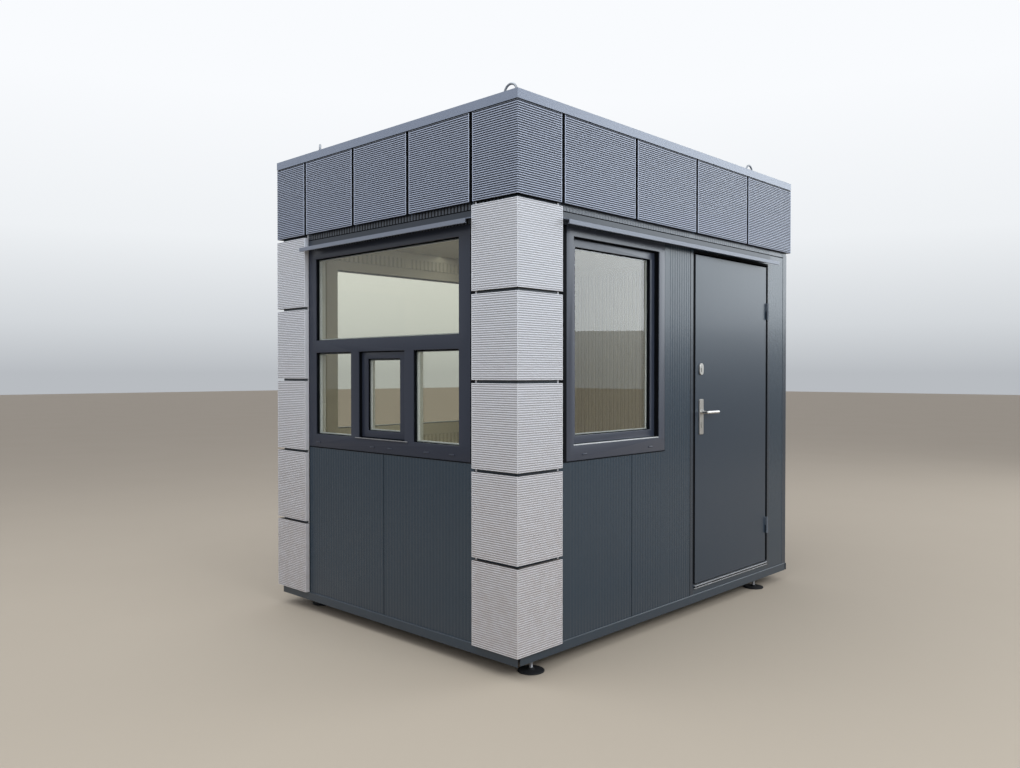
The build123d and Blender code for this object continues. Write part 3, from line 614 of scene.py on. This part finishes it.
atticLow, atticHigh = (corner.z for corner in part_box("attic_cassettes"))
attic = {"gap": 0.023, "cornerFront": 0.320, "cornerSide": 0.337, "frontFields": 3, "sideFields": 4,
         "backFields": 5, "finishes": [atticPaint, atticValley, gapPaint, gapPaint, atticValley]}


def makeAttic():
    mesh = bmesh.new()
    height, depth, gap = atticHigh - atticLow, cassette["return"], attic["gap"]
    rows = cassetteRows(height, depth)
    frontSpan = 2 * sideEdge - 2 * attic["cornerFront"]
    step = frontSpan / attic["frontFields"]
    columns = flatColumns(step - gap, depth)
    for i in range(attic["frontFields"]):
        middle = (i + 0.5) * step - frontSpan / 2
        addCassette(mesh, rows, columns,
                    lambda x, y, up, m=middle: Vector((m + x, frontEdge + y, atticLow + up)))
    start = frontEdge + attic["cornerSide"]
    step = (backEdge - start) / attic["sideFields"]
    for i in range(attic["sideFields"]):
        atBack = i == attic["sideFields"] - 1
        first = start + i * step + gap / 2
        last = start + (i + 1) * step - (0 if atBack else gap / 2)
        columns = flatColumns(last - first, depth)
        middle = (first + last) / 2
        for side in (1, -1):
            addCassette(mesh, rows, columns,
                        lambda x, y, up, m=middle, s=side: Vector((s * (sideEdge - y), m + x, atticLow + up)),
                        mirrored=side < 0, openEnd=atBack)
    shallow = backEdge - backPlane - 0.0005  # clear of the back wall
    backRows = cassetteRows(height, shallow)
    span = 2 * rightPlane
    step = span / attic["backFields"]
    columns = flatColumns(step - gap, shallow)
    for i in range(attic["backFields"]):
        middle = (i + 0.5) * step - span / 2
        addCassette(mesh, backRows, columns,
                    lambda x, y, up, m=middle: Vector((m - x, backEdge - y, atticLow + up)))
    makePiece("atticCassettes", mesh, attic["finishes"], replaces=("attic_cassettes",))

    mesh = bmesh.new()
    columns = cornerColumns(attic["cornerFront"] - gap / 2, attic["cornerSide"] - gap / 2, depth, 1.0)
    for side in (1, -1):
        addCassette(mesh, rows, columns, atCorner(side, atticLow), mirrored=side < 0)
    makePiece("atticCorners", mesh, attic["finishes"],
              replaces=("attic_corner_cassettes",))


column = {"count": 5, "gap": 0.016,
          "finishes": [columnPaint, columnValley, columnShade, columnPaint, columnPaint]}


def makeColumns():
    for side, name, node in ((1, "rightColumn", "column_cassettes_right"),
                             (-1, "leftColumn", "column_cassettes_left")):
        low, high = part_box(node)
        pitch = (high.z - low.z + column["gap"]) / column["count"]
        mesh = bmesh.new()
        rows = cassetteRows(pitch - column["gap"], cassette["return"])
        columns = cornerColumns(high.x - low.x, high.y - low.y, cassette["return"], 0.0)
        for i in range(column["count"]):
            addCassette(mesh, rows, columns, atCorner(side, low.z + i * pitch), mirrored=side < 0)
        makePiece(name, mesh, column["finishes"], replaces=(node,))


makeAttic()
makeColumns()
print("cassettes made")


# Windows: bars in layers from the outer face inwards, panes of two sheets, spacers and seals
window = {"pane": 0.004, "spacer": 0.0185, "rebate": 0.0095, "seal": 0.0032, "sealProud": 0.0016,
          "edge": 0.0022, "skin": 0.005, "glassFront": 0.0222, "glassBack": 0.0458}
hair = 0.00001  # lengths closer than this count as the same


def addLayer(mesh, spot, outline, openings, front, back, grow, finish, edge):
    # one layer of bars: the outline less its openings, with eased front edges
    x0, x1, z0, z1 = outline
    holes = []
    for a, b, c, d, rebated in openings:
        g = grow if rebated else 0.0
        holes.append((a - g, b + g, c - g, d + g))
    xs = sorted({x0, x1} | {round(v, 6) for h in holes for v in h[:2]})
    zs = sorted({z0, z1} | {round(v, 6) for h in holes for v in h[2:]})
    layer = bmesh.new()
    for a, b in zip(xs, xs[1:]):
        for c, d in zip(zs, zs[1:]):
            mx, mz = (a + b) / 2, (c + d) / 2
            if any(h[0] < mx < h[1] and h[2] < mz < h[3] for h in holes):
                continue
            layer.faces.new([layer.verts.new((x, front, z)) for x, z in ((a, c), (b, c), (b, d), (a, d))])
    bmesh.ops.remove_doubles(layer, verts=layer.verts[:], dist=hair)
    grown = bmesh.ops.extrude_face_region(layer, geom=layer.faces[:])
    moved = [v for v in grown["geom"] if isinstance(v, bmesh.types.BMVert)]
    bmesh.ops.translate(layer, verts=moved, vec=(0, back - front, 0))
    bmesh.ops.recalc_face_normals(layer, faces=layer.faces[:])
    flat = [e for e in layer.edges if e.is_manifold and e.calc_face_angle(0) < 0.01]
    bmesh.ops.dissolve_edges(layer, edges=flat, use_verts=True)
    if edge:
        turned = [e for e in layer.edges if e.is_manifold and e.calc_face_angle(0) > 1.0
                  and all(abs(v.co.y - front) < hair for v in e.verts)]
        bmesh.ops.bevel(layer, geom=turned, offset=edge, segments=3, profile=0.5, affect="EDGES")
    copyInto(mesh, layer, spot, finish)


def copyInto(mesh, source, spot, finish):
    # a small mesh drawn in wall axes goes into the piece's mesh, with its faces kept outward
    made = {v: mesh.verts.new(spot(*v.co)) for v in source.verts}
    ax, ay, az = (spot(*axis) - spot(0, 0, 0) for axis in ((1, 0, 0), (0, 1, 0), (0, 0, 1)))
    mirrored = ax.cross(ay).dot(az) < 0
    for face in source.faces:
        corners = [made[v] for v in face.verts]
        mesh.faces.new(corners[::-1] if mirrored else corners).material_index = finish
    source.free()


def addBlock(mesh, spot, a, b, front, back, low, high, finish=0):
    # a straight block in wall axes
    block = bmesh.new()
    bmesh.ops.create_cube(block, size=1.0)
    for v in block.verts:
        v.co = Vector((a if v.co.x < 0 else b, front if v.co.y < 0 else back, low if v.co.z < 0 else high))
    bmesh.ops.recalc_face_normals(block, faces=block.faces[:])
    copyInto(mesh, block, spot, finish)


def addRing(mesh, spot, a, b, c, d, width, front, back, finish):
    # a rectangular ring of the given width, drawn inside its outline
    hole = (a + width, b - width, c + width, d - width, False)
    addLayer(mesh, spot, (a, b, c, d), [hole], front, back, 0.0, finish, 0.0)


def addPaneSet(glassMesh, partsMesh, spot, opening, front, back):
    # two sheets of glass with the spacer between them, and a seal on each outer face
    a, b, c, d = opening[:4]
    r, pane, proud = window["rebate"], window["pane"], window["sealProud"]
    for y in (front, back - pane):
        addBlock(glassMesh, spot, a - r, b + r, y, y + pane, c - r, d + r)
    addRing(partsMesh, spot, a - r, b + r, c - r, d + r, window["spacer"], front + pane, back - pane, 0)
    for y0, y1 in ((front - proud, front), (back, back + proud)):
        addRing(partsMesh, spot, a, b, c, d, window["seal"], y0, y1, 1)


def makeFrame(name, spot, outline, openings, layers, node, foil=windowFoil, inner=innerFoil):
    mesh = bmesh.new()
    for front, back, grow, finish, edge in layers:
        addLayer(mesh, spot, outline, openings, front, back, grow, finish, edge)
    makePiece(name, mesh, [foil, inner, sealRubber], replaces=(node,), sharp=25)


def barLayers(front, paneFront, paneBack, back):
    # foil outside, dark gasket rebate down to the pane, and the pale inner half behind it
    skin = front + window["skin"]
    return [(front, skin, 0.0, 0, window["edge"]), (skin, paneFront, 0.0, 2, 0.0),
            (paneFront, paneBack, window["rebate"], 2, 0.0), (paneBack, back, 0.0, 1, 0.0)]


frontBars = {"jamb": 0.088, "sill": 0.079, "head": 0.055, "transom": 0.574, "transomFace": 0.075,
             "mullion": 0.077, "leftPane": 0.355, "rightPane": 0.357, "sashRing": 0.005, "ringProud": 0.002}
sideBars = {"face": 0.060, "sill": 0.079, "head": 0.050, "sashRing": 0.006, "ringProud": 0.003,
            "lineHeight": 0.003, "lineFront": 0.002, "lineBack": 0.004}


def makeFrontWindow():
    low, high = windowBottom + frontBars["sill"], windowTop - frontBars["head"]
    rail = windowBottom + frontBars["transom"]
    left, right = frontLeft + frontBars["jamb"], frontRight - frontBars["jamb"]
    bayLeft = left + frontBars["leftPane"] + frontBars["mullion"]
    bayRight = right - frontBars["rightPane"] - frontBars["mullion"]
    openings = [(left, right, rail + frontBars["transomFace"], high, True),
                (left, left + frontBars["leftPane"], low, rail, True),
                (right - frontBars["rightPane"], right, low, rail, True),
                (bayLeft, bayRight, low, rail, False)]
    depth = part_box("front_window_frame")[1].y - frontPlane
    glassFront, glassBack, r = window["glassFront"], window["glassBack"], window["rebate"]
    makeFrame("frontWindowFrame", onFront, (frontLeft, frontRight, windowBottom, windowTop), openings,
              barLayers(0.0, glassFront, glassBack, depth), "front_window_frame")
    glass, parts = bmesh.new(), bmesh.new()
    for opening in openings[:3]:
        addPaneSet(glass, parts, onFront, opening, glassFront, glassBack)
    makePiece("frontWindowGlass", glass, [clearGlass], replaces=("front_window_glass",))

    # the service sash stands back in the middle bay
    sashLow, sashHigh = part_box("service_sash")
    paneLow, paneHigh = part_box("service_sash_glass")
    front, back = sashLow.y - frontPlane, sashHigh.y - frontPlane
    paneFront, paneBack = paneLow.y - frontPlane, paneHigh.y - frontPlane
    opening = (paneLow.x + r, paneHigh.x - r, paneLow.z + r, paneHigh.z - r, True)
    makeFrame("serviceSash", onFront, (sashLow.x, sashHigh.x, sashLow.z, sashHigh.z), [opening],
              barLayers(front, paneFront, paneBack, back), "service_sash")
    sashGlass = bmesh.new()
    addPaneSet(sashGlass, parts, onFront, opening, paneFront, paneBack)
    makePiece("serviceSashGlass", sashGlass, [clearGlass], replaces=("service_sash_glass",))
    addRing(parts, onFront, sashLow.x, sashHigh.x, sashLow.z, sashHigh.z, frontBars["sashRing"],
            front - frontBars["ringProud"], front, 1)
    makePiece("frontSeals", parts, [spacerPale, sealRubber])


def makeRightWindow():
    low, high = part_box("right_window_frame")
    depth = rightPlane - low.x
    sashLow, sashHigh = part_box("right_window_sash")
    paneLow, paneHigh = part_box("right_window_glass")
    front, back = rightPlane - sashHigh.x, rightPlane - sashLow.x
    paneFront, paneBack = rightPlane - paneHigh.x, rightPlane - paneLow.x
    hole = (low.y + sideBars["face"], high.y - sideBars["face"], low.z + sideBars["sill"],
            high.z - sideBars["head"], False)
    makeFrame("rightWindowFrame", onRight, (low.y, high.y, low.z, high.z), [hole],
              [(0.0, window["skin"], 0.0, 0, window["edge"]), (window["skin"], front, 0.0, 2, 0.0),
               (front, depth, 0.0, 1, 0.0)], "right_window_frame", sideFoil)
    r = window["rebate"]
    opening = (paneLow.y + r, paneHigh.y - r, paneLow.z + r, paneHigh.z - r, True)
    makeFrame("rightWindowSash", onRight, (sashLow.y, sashHigh.y, sashLow.z, sashHigh.z), [opening],
              barLayers(front, paneFront, paneBack, back), "right_window_sash", sideFoil)
    glass, parts = bmesh.new(), bmesh.new()
    addPaneSet(glass, parts, onRight, opening, paneFront, paneBack)
    makePiece("rightWindowGlass", glass, [sideGlass], replaces=("right_window_glass",))
    addRing(parts, onRight, *hole[:4], sideBars["sashRing"], front - sideBars["ringProud"], front, 1)
    # a pale strip along the sill of the frame: a painted highlight of its lit top edge
    line = (*hole[:3], hole[2] + sideBars["lineHeight"])
    addLayer(parts, onRight, line, [], sideBars["lineFront"], front - sideBars["lineBack"], 0.0, 0, 0.0)
    makePiece("rightSeals", parts, [spacerPale, sealRubber])


def makeLeftWindow():
    low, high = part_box("left_window_frame")
    depth = high.x + rightPlane
    start, end = -high.y, -low.y
    opening = (start + sideBars["face"], end - sideBars["face"], low.z + sideBars["sill"],
               high.z - sideBars["face"], True)
    makeFrame("leftWindowFrame", onLeft, (start, end, low.z, high.z), [opening],
              barLayers(0.0, window["glassFront"], window["glassBack"], depth), "left_window_frame",
              inner=liningPaint)
    glass, parts = bmesh.new(), bmesh.new()
    addPaneSet(glass, parts, onLeft, opening, window["glassFront"], window["glassBack"])
    makePiece("leftWindowGlass", glass, [clearGlass], replaces=("left_window_glass",))
    makePiece("leftSeals", parts, [spacerPale, sealRubber])


makeFrontWindow()
makeRightWindow()
makeLeftWindow()
print("windows made")


# Dark joint strips, door seals and the flanges behind the column joints
joint = {"proud": 0.0012, "root": 0.001, "tuck": 0.004, "under": 0.005, "drip": 0.006, "dripEnd": 0.05,
         "slim": 0.006, "frameLine": 0.004, "gap": 0.013, "sealThick": 0.0015, "sealFrom": 0.001,
         "sealTo": 0.038, "lip": 0.013, "lipThick": 0.0003, "skin": 0.0006, "flange": 0.013,
         "flangeBack": 0.0287, "sheet": 0.001}


def makeJoints():
    right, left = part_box("column_cassettes_right"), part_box("column_cassettes_left")
    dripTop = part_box("drip_flashings")[1].z
    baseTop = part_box("base_flashings")[1].z
    under = windowBottom - joint["under"]
    mesh = bmesh.new()

    def addStrip(spot, a, b, low, high, proud=joint["proud"]):
        addBlock(mesh, spot, a, b, -proud, joint["root"], low, high)

    for spot, edge, bar, way in ((onFront, left[1].x, frontLeft, 1), (onFront, right[0].x, frontRight, -1),
                                 (onRight, right[1].y, sideFirst, 1)):
        hidden = edge - way * joint["tuck"]
        addStrip(spot, hidden, bar, under, windowTop)
        addStrip(spot, hidden, edge + way * joint["slim"], baseTop, under)
    for spot, a, b in ((onFront, frontLeft, frontRight), (onRight, sideFirst, sideLast),
                       (onLeft, -leftLast, -leftFirst)):
        addStrip(spot, a, b, under, windowBottom)
    for spot, a, b in ((onFront, left[1].x, right[0].x), (onRight, right[1].y, backPlane - joint["dripEnd"])):
        addStrip(spot, a, b, dripTop, dripTop + joint["drip"])
    half = joint["frameLine"] / 2
    addStrip(onRight, doorFirst - half, doorFirst + half, baseTop, headTop, joint["skin"])
    makePiece("jointStrips", mesh, [sealRubber])

    leafLow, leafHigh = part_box("door_leaf")
    gap, thick, lip, skin = joint["gap"], joint["sealThick"], joint["lip"], joint["skin"]
    first, last, top = leafLow.y - gap, leafHigh.y + gap, leafHigh.z + gap
    seals = bmesh.new()
    for a, b, low in ((first, first + thick, leafLow.z), (last - thick, last, leafLow.z),
                      (first, last, top - thick)):
        addBlock(seals, onRight, a, b, joint["sealFrom"], joint["sealTo"], low, top)
    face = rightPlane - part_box("door_jambs")[1].x
    for a, b, low in ((first - lip, first, leafLow.z), (last, last + lip, leafLow.z), (first, last, top)):
        addBlock(seals, onRight, a, b, face - joint["lipThick"], face + joint["root"], low, top + lip)
    makePiece("doorSeals", seals, [sealRubber])

    edging = bmesh.new()
    for a, b, low, high in ((leafLow.y - skin, leafLow.y, leafLow.z, leafHigh.z),
                            (leafLow.y, leafHigh.y, leafHigh.z, leafHigh.z + skin)):
        addBlock(edging, onRight, a, b, joint["sealFrom"], joint["sealTo"], low, high)
    makePiece("leafEdging", edging, [sealRubber], body="door")

    flanges = bmesh.new()
    back, wide = joint["flangeBack"], joint["flange"]
    front = back - joint["sheet"]
    for side, (low, high) in ((1, right), (-1, left)):
        outer = low.x if side > 0 else high.x
        addBlock(flanges, lambda x, y, z: Vector((x, frontEdge + y, z)), outer, outer + side * wide,
                 front, back, low.z, atticLow)
        addBlock(flanges, lambda x, y, z, s=side: Vector((s * (sideEdge - y), x, z)), high.y - wide, high.y,
                 front, back, low.z, atticLow)
    makePiece("columnFlanges", flanges, [columnPaint])


makeJoints()


# Dark joints round the key cylinders, and their keyways
lock = {"radius": 0.0085, "tail": 0.005, "drop": 0.017, "ring": 0.0014, "proud": 0.0025, "line": 0.0003,
        "slotWidth": 0.00196, "slotHeight": 0.00996, "slotDepth": 0.0015, "keyDrop": 0.072, "rise": 0.0057,
        "arcs": 24}


def addPrism(mesh, outline, x0, x1):
    first, last = ([mesh.verts.new((x, y, z)) for y, z in outline] for x in (x0, x1))
    mesh.faces.new(first)
    mesh.faces.new(last[::-1])
    for i in range(len(outline)):
        j = (i + 1) % len(outline)
        mesh.faces.new((first[j], first[i], last[i], last[j]))


def makeKeyways():
    mesh = bmesh.new()
    lever, plates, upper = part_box("lever_handle"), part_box("handle_plates"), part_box("lock_escutcheons")
    y = (plates[0].y + plates[1].y) / 2
    wide, tail = lock["radius"] + lock["ring"], lock["tail"] + lock["ring"]
    meet = -math.acos(tail / wide)
    for z in ((lever[0].z + lever[1].z) / 2 - lock["keyDrop"], (upper[0].z + upper[1].z) / 2 + lock["rise"]):
        arcs = lock["arcs"]
        turns = [meet + (math.pi - 2 * meet) * i / arcs for i in range(arcs + 1)]
        outline = [(y + wide * math.cos(t), z + wide * math.sin(t)) for t in turns]
        turns = [math.pi + math.pi * i / 12 for i in range(13)]  # round the tail
        outline += [(y + tail * math.cos(t), z - lock["drop"] + tail * math.sin(t)) for t in turns]
        w, h = lock["slotWidth"] / 2, lock["slotHeight"] / 2
        slot = [(y - w, z - h), (y + w, z - h), (y + w, z + h), (y - w, z + h)]
        for face, out in ((plates[1].x, 1), (plates[0].x, -1)):
            plane = face - out * lock["proud"]
            addPrism(mesh, outline, plane - out * lock["line"], plane + out * lock["line"])
            addPrism(mesh, slot, face - out * lock["slotDepth"], face - out * lock["line"])
    bmesh.ops.recalc_face_normals(mesh, faces=mesh.faces[:])
    makePiece("keyways", mesh, [sealRubber], body="door")


makeKeyways()


# Small caps over the drain slots in the bottom bars
drain = {"length": 0.040, "height": 0.008, "proud": 0.0035, "slant": 0.0014, "ease": 0.0012, "up": 0.030,
         "front": (-0.640, -0.103, 0.057, 0.366, 0.566), "right": (-0.86, -0.26), "left": (-0.9, 0.05, 0.9)}


def makeDrainCaps():
    mesh = bmesh.new()
    up = windowBottom + drain["up"]
    for spot, places in ((onFront, drain["front"]), (onRight, drain["right"]), (onLeft, drain["left"])):
        for along in places:
            cap = bmesh.new()
            bmesh.ops.create_cube(cap, size=1.0)
            for v in cap.verts:
                slant = drain["slant"] if v.co.z > 0 and v.co.y < 0 else 0.0
                v.co = Vector((v.co.x * drain["length"], (v.co.y - 0.5) * drain["proud"] + slant,
                               v.co.z * drain["height"]))
            outer = [e for e in cap.edges if all(v.co.y < -0.001 for v in e.verts)]
            bmesh.ops.bevel(cap, geom=outer, offset=drain["ease"], segments=2, profile=0.5, affect="EDGES")
            bmesh.ops.recalc_face_normals(cap, faces=cap.faces[:])
            copyInto(mesh, cap, lambda x, y, z, a=along, s=spot: s(a + x, y, up + z), 0)
    makePiece("drainCaps", mesh, [windowFoil])


makeDrainCaps()


# Screw feet: plastic pad with its boss, threaded rod and lock nut
foot = {"padRadius": 0.067, "rod": 0.0097, "rodTop": 0.0088, "rodBottom": 0.0175, "thread": 0.0025,
        "threadDepth": 0.0011, "nut": 0.0166, "nutHeight": 0.0155, "nutDrop": 0.008, "ease": 0.0012,
        "pad": ((0.0, 0.0), (0.063, 0.0), (0.0668, 0.0012), (0.0668, 0.0052), (0.0652, 0.0070),
                (0.0600, 0.0078), (0.0560, 0.0074), (0.0520, 0.0080), (0.0240, 0.0080), (0.0185, 0.0086),
                (0.0165, 0.0110), (0.0140, 0.0165), (0.0120, 0.0180), (0.0, 0.0180))}


def addTurned(mesh, centre, outline, finish, steps):
    # a round body from its outline of (radius, height)
    rings = []
    for radius, height in outline:
        count = steps if radius > hair else 1
        turns = [2 * math.pi * i / steps for i in range(count)]
        rings.append([mesh.verts.new((centre[0] + radius * math.cos(t), centre[1] + radius * math.sin(t),
                                      height)) for t in turns])
    for low, high in zip(rings, rings[1:]):
        for i in range(steps):
            j = (i + 1) % steps
            if len(low) == 1:
                corners = (low[0], high[j], high[i])
            elif len(high) == 1:
                corners = (low[i], low[j], high[0])
            else:
                corners = (low[i], low[j], high[j], high[i])
            mesh.faces.new(corners).material_index = finish


def makeFeet():
    low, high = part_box("levelling_feet")
    reach, top, bottom = foot["padRadius"], high.z, foot["rodBottom"]
    rod = [(0.0, bottom)]
    for i in range(int((top - bottom) / foot["thread"])):
        z = bottom + i * foot["thread"]
        rod += [(foot["rod"] - foot["threadDepth"], z), (foot["rod"], z + foot["thread"] * 0.5)]
    rod += [(foot["rodTop"], top - 0.0002), (0.0, top - 0.0002)]
    mesh = bmesh.new()
    for x in (low.x + reach, high.x - reach):
        for y in (low.y + reach, high.y - reach):
            addTurned(mesh, (x, y), foot["pad"], 0, 64)
            addTurned(mesh, (x, y), rod, 1, 32)
            nut = bmesh.new()
            bmesh.ops.create_cone(nut, cap_ends=True, segments=6, radius1=foot["nut"], radius2=foot["nut"],
                                  depth=foot["nutHeight"])
            bmesh.ops.bevel(nut, geom=nut.edges[:], offset=foot["ease"], segments=2, profile=0.6,
                            affect="EDGES")
            middle = Vector((x, y, top - foot["nutDrop"]))
            copyInto(mesh, nut, lambda a, b, c, m=middle: m + Vector((a, b, c)), 1)
    makePiece("screwFeet", mesh, [footPlastic, screwZinc], replaces=("levelling_feet",))


makeFeet()
print("feet made")


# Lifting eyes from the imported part; the one at the front left is screwed in turned away
eye = {"turn": -32.0, "reach": 0.2}


def makeEyes():
    mesh = bmesh.new()
    mesh.from_mesh(nodes["lifting_eyes"].data)
    turned = [v for v in mesh.verts if v.co.x < 0 and v.co.y < frontPlane + eye["reach"]]
    middle = Vector([(min(v.co[i] for v in turned) + max(v.co[i] for v in turned)) / 2 for i in range(3)])
    turn = Matrix.Rotation(math.radians(eye["turn"]), 3, "Z")
    bmesh.ops.rotate(mesh, cent=middle, matrix=turn, verts=turned)
    for face in mesh.faces:
        face.material_index = 0
    makePiece("liftingEyes", mesh, [eyeZinc], replaces=("lifting_eyes",))


makeEyes()


# Inside: ribbed ceiling and plain angle trims along the edges of the room
room = {"trim": 0.045, "sheet": 0.0015, "ceiling": 0.004, "joints": (-0.45, 0.55), "edge": 0.001,
        "under": 0.0005, "trimTop": 0.006}


def makeRoom():
    mesh = bmesh.new()
    edge = room["edge"]
    level = wallTop - room["under"] - room["ceiling"]
    stops = panelStops(innerFront + edge, innerBack - edge, room["joints"], panel["inner"],
                       panel["innerJoint"])
    lines = [[mesh.verts.new((side * (innerSide - edge), along, level + depth)) for side in (-1, 1)]
             for along, depth in stops]
    for first, last in zip(lines, lines[1:]):
        mesh.faces.new((first[0], last[0], last[1], first[1]))
    makePiece("ceilingLining", mesh, [liningPaint], sharp=12)

    trims = bmesh.new()
    sheet, trim = room["sheet"], room["trim"]
    low, high = floorTop, wallTop - room["trimTop"]
    ends = ((innerFront, 1), (innerBack, -1))

    def addBar(*sides):
        addBlock(trims, lambda x, y, z: Vector((x, y, z)), *sides)

    for side in (-1, 1):
        wall, face, leg = side * innerSide, side * (innerSide - sheet), side * (innerSide - trim)
        for y, way in ends:
            addBar(wall, face, y, y + way * trim, low, high)
            addBar(wall, leg, y, y + way * sheet, low, high)
        addBar(wall, face, innerFront, innerBack, high - trim, high)
    for y, way in ends:
        addBar(-innerSide, innerSide, y, y + way * sheet, high - trim, high)
    makePiece("roomTrims", trims, [liningPaint])


makeRoom()
print("room made")


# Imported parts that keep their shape
for name, finish in (
        ("corner_posts", wallPaint), ("attic_upstands", wallPaint), ("cap_flashings", capPaint),
        ("drip_flashings", dripPaint), ("corner_flashings", trimPaint), ("base_flashings", wallPaint),
        ("base_frame", basePaint), ("floor_slab", floorVinyl), ("roof_panel", roofPaint),
        ("door_jambs", trimPaint), ("door_head", wallPaint), ("door_leaf", doorPaint),
        ("door_apron", wallPaint), ("door_threshold", sillAluminium), ("service_sill_rail", railAluminium),
        ("hinge_frame_knuckles", hingePaint), ("hinge_leaf_knuckles", hingePaint),
        ("handle_plates", steelSatin), ("lock_escutcheons", steelSatin), ("lever_handle", leverSatin)):
    for place in nodes[name].material_slots:
        place.material = finish.material
print("packed parts finished")


# Pale floor, plain backdrop and soft light
studio = {"floor": (176, 163, 147), "reach": 60.0, "fill": 0.64, "fillColour": (0.92, 0.97, 1.05, 1.0),
          "sky": ((0.0, (184, 188, 193)), (0.16, (211, 215, 219)), (0.45, (238, 241, 244)),
                  (0.9, (249, 251, 254))),
          "lamps": (("skyPanel", (5.8, 8.0, 4.6), (0.9, 0.2, 1.6), (6.4, 5.0), 300.0),
                    ("sideLamp", (8.0, -1.0, 5.0), (1.0, 0.0, 1.3), (4.0, 3.0), 240.0),
                    ("frontLamp", (5.5, -8.0, 4.5), (0.0, -0.8, 1.2), (4.0, 3.0), 110.0),
                    ("topLamp", (-0.6, -2.6, 7.0), (0.0, -0.6, 1.0), (7.0, 7.0), 330.0),
                    ("roomLamp", (0.1, 0.1, 2.27), (0.0, 0.0, 0.2), (1.2, 1.8), 4.8)),
          "lampColour": (0.88, 0.95, 1.0)}


def makeStudio():
    mesh = bmesh.new()
    bmesh.ops.create_grid(mesh, x_segments=2, y_segments=2, size=studio["reach"])
    data = bpy.data.meshes.new("studioFloor")
    mesh.to_mesh(data)
    mesh.free()
    paint = Finish("floorPaint", Specular_IOR_Level=0.2)
    tone = paint.noise(0.8, 4.0)
    paint.set("Base Color", paint.blend(tone * 0.3, studio["floor"], [c - 8 for c in studio["floor"]]))
    paint.set("Roughness", 0.75 + 0.1 * tone)
    data.materials.append(paint.material)
    floor = addObject("studioFloor", data)
    floor.location.z = -0.0005  # a hair under the feet

    world = bpy.data.worlds.new("studioWorld")
    bpy.context.scene.world = world
    world.use_nodes = True
    sky = NodeTree(world.node_tree)
    way = sky.node("ShaderNodeTexCoord", output="Generated")
    rise = sky.node("ShaderNodeSeparateXYZ", {}, {0: way}, "Z")
    stops = [(place, linear(*colour)) for place, colour in studio["sky"]]
    tone = sky.node("ShaderNodeValToRGB", {"stops": stops}, {0: rise * 3.0})
    seen = sky.node("ShaderNodeLightPath", output="Is Camera Ray")
    for ray in ("Is Glossy Ray", "Is Transmission Ray"):
        seen = seen.maths("MAXIMUM", seen, sky.node("ShaderNodeLightPath", output=ray))
    light = {"Color": studio["fillColour"], "Strength": studio["fill"]}
    fill = sky.node("ShaderNodeBackground", {}, light)
    backdrop = sky.node("ShaderNodeBackground", {}, {"Color": tone})
    mix = sky.node("ShaderNodeMixShader", {}, {0: seen, 1: fill, 2: backdrop})
    sky.node("ShaderNodeOutputWorld", {}, {"Surface": mix}, None)

    for name, place, aim, size, power in studio["lamps"]:
        lampData = bpy.data.lights.new(name, "AREA")
        lampData.shape = "RECTANGLE"
        lampData.size, lampData.size_y = size
        lampData.energy = power
        lampData.color = studio["lampColour"]
        lamp = addObject(name, lampData)
        lamp.location = place
        lamp.rotation_euler = (Vector(aim) - Vector(place)).to_track_quat("-Z", "Y").to_euler()
        lamp.visible_camera = False
        lamp.visible_transmission = False
        lamp.visible_glossy = name != "roomLamp"  # it would show in the panes


makeStudio()
print("studio made")
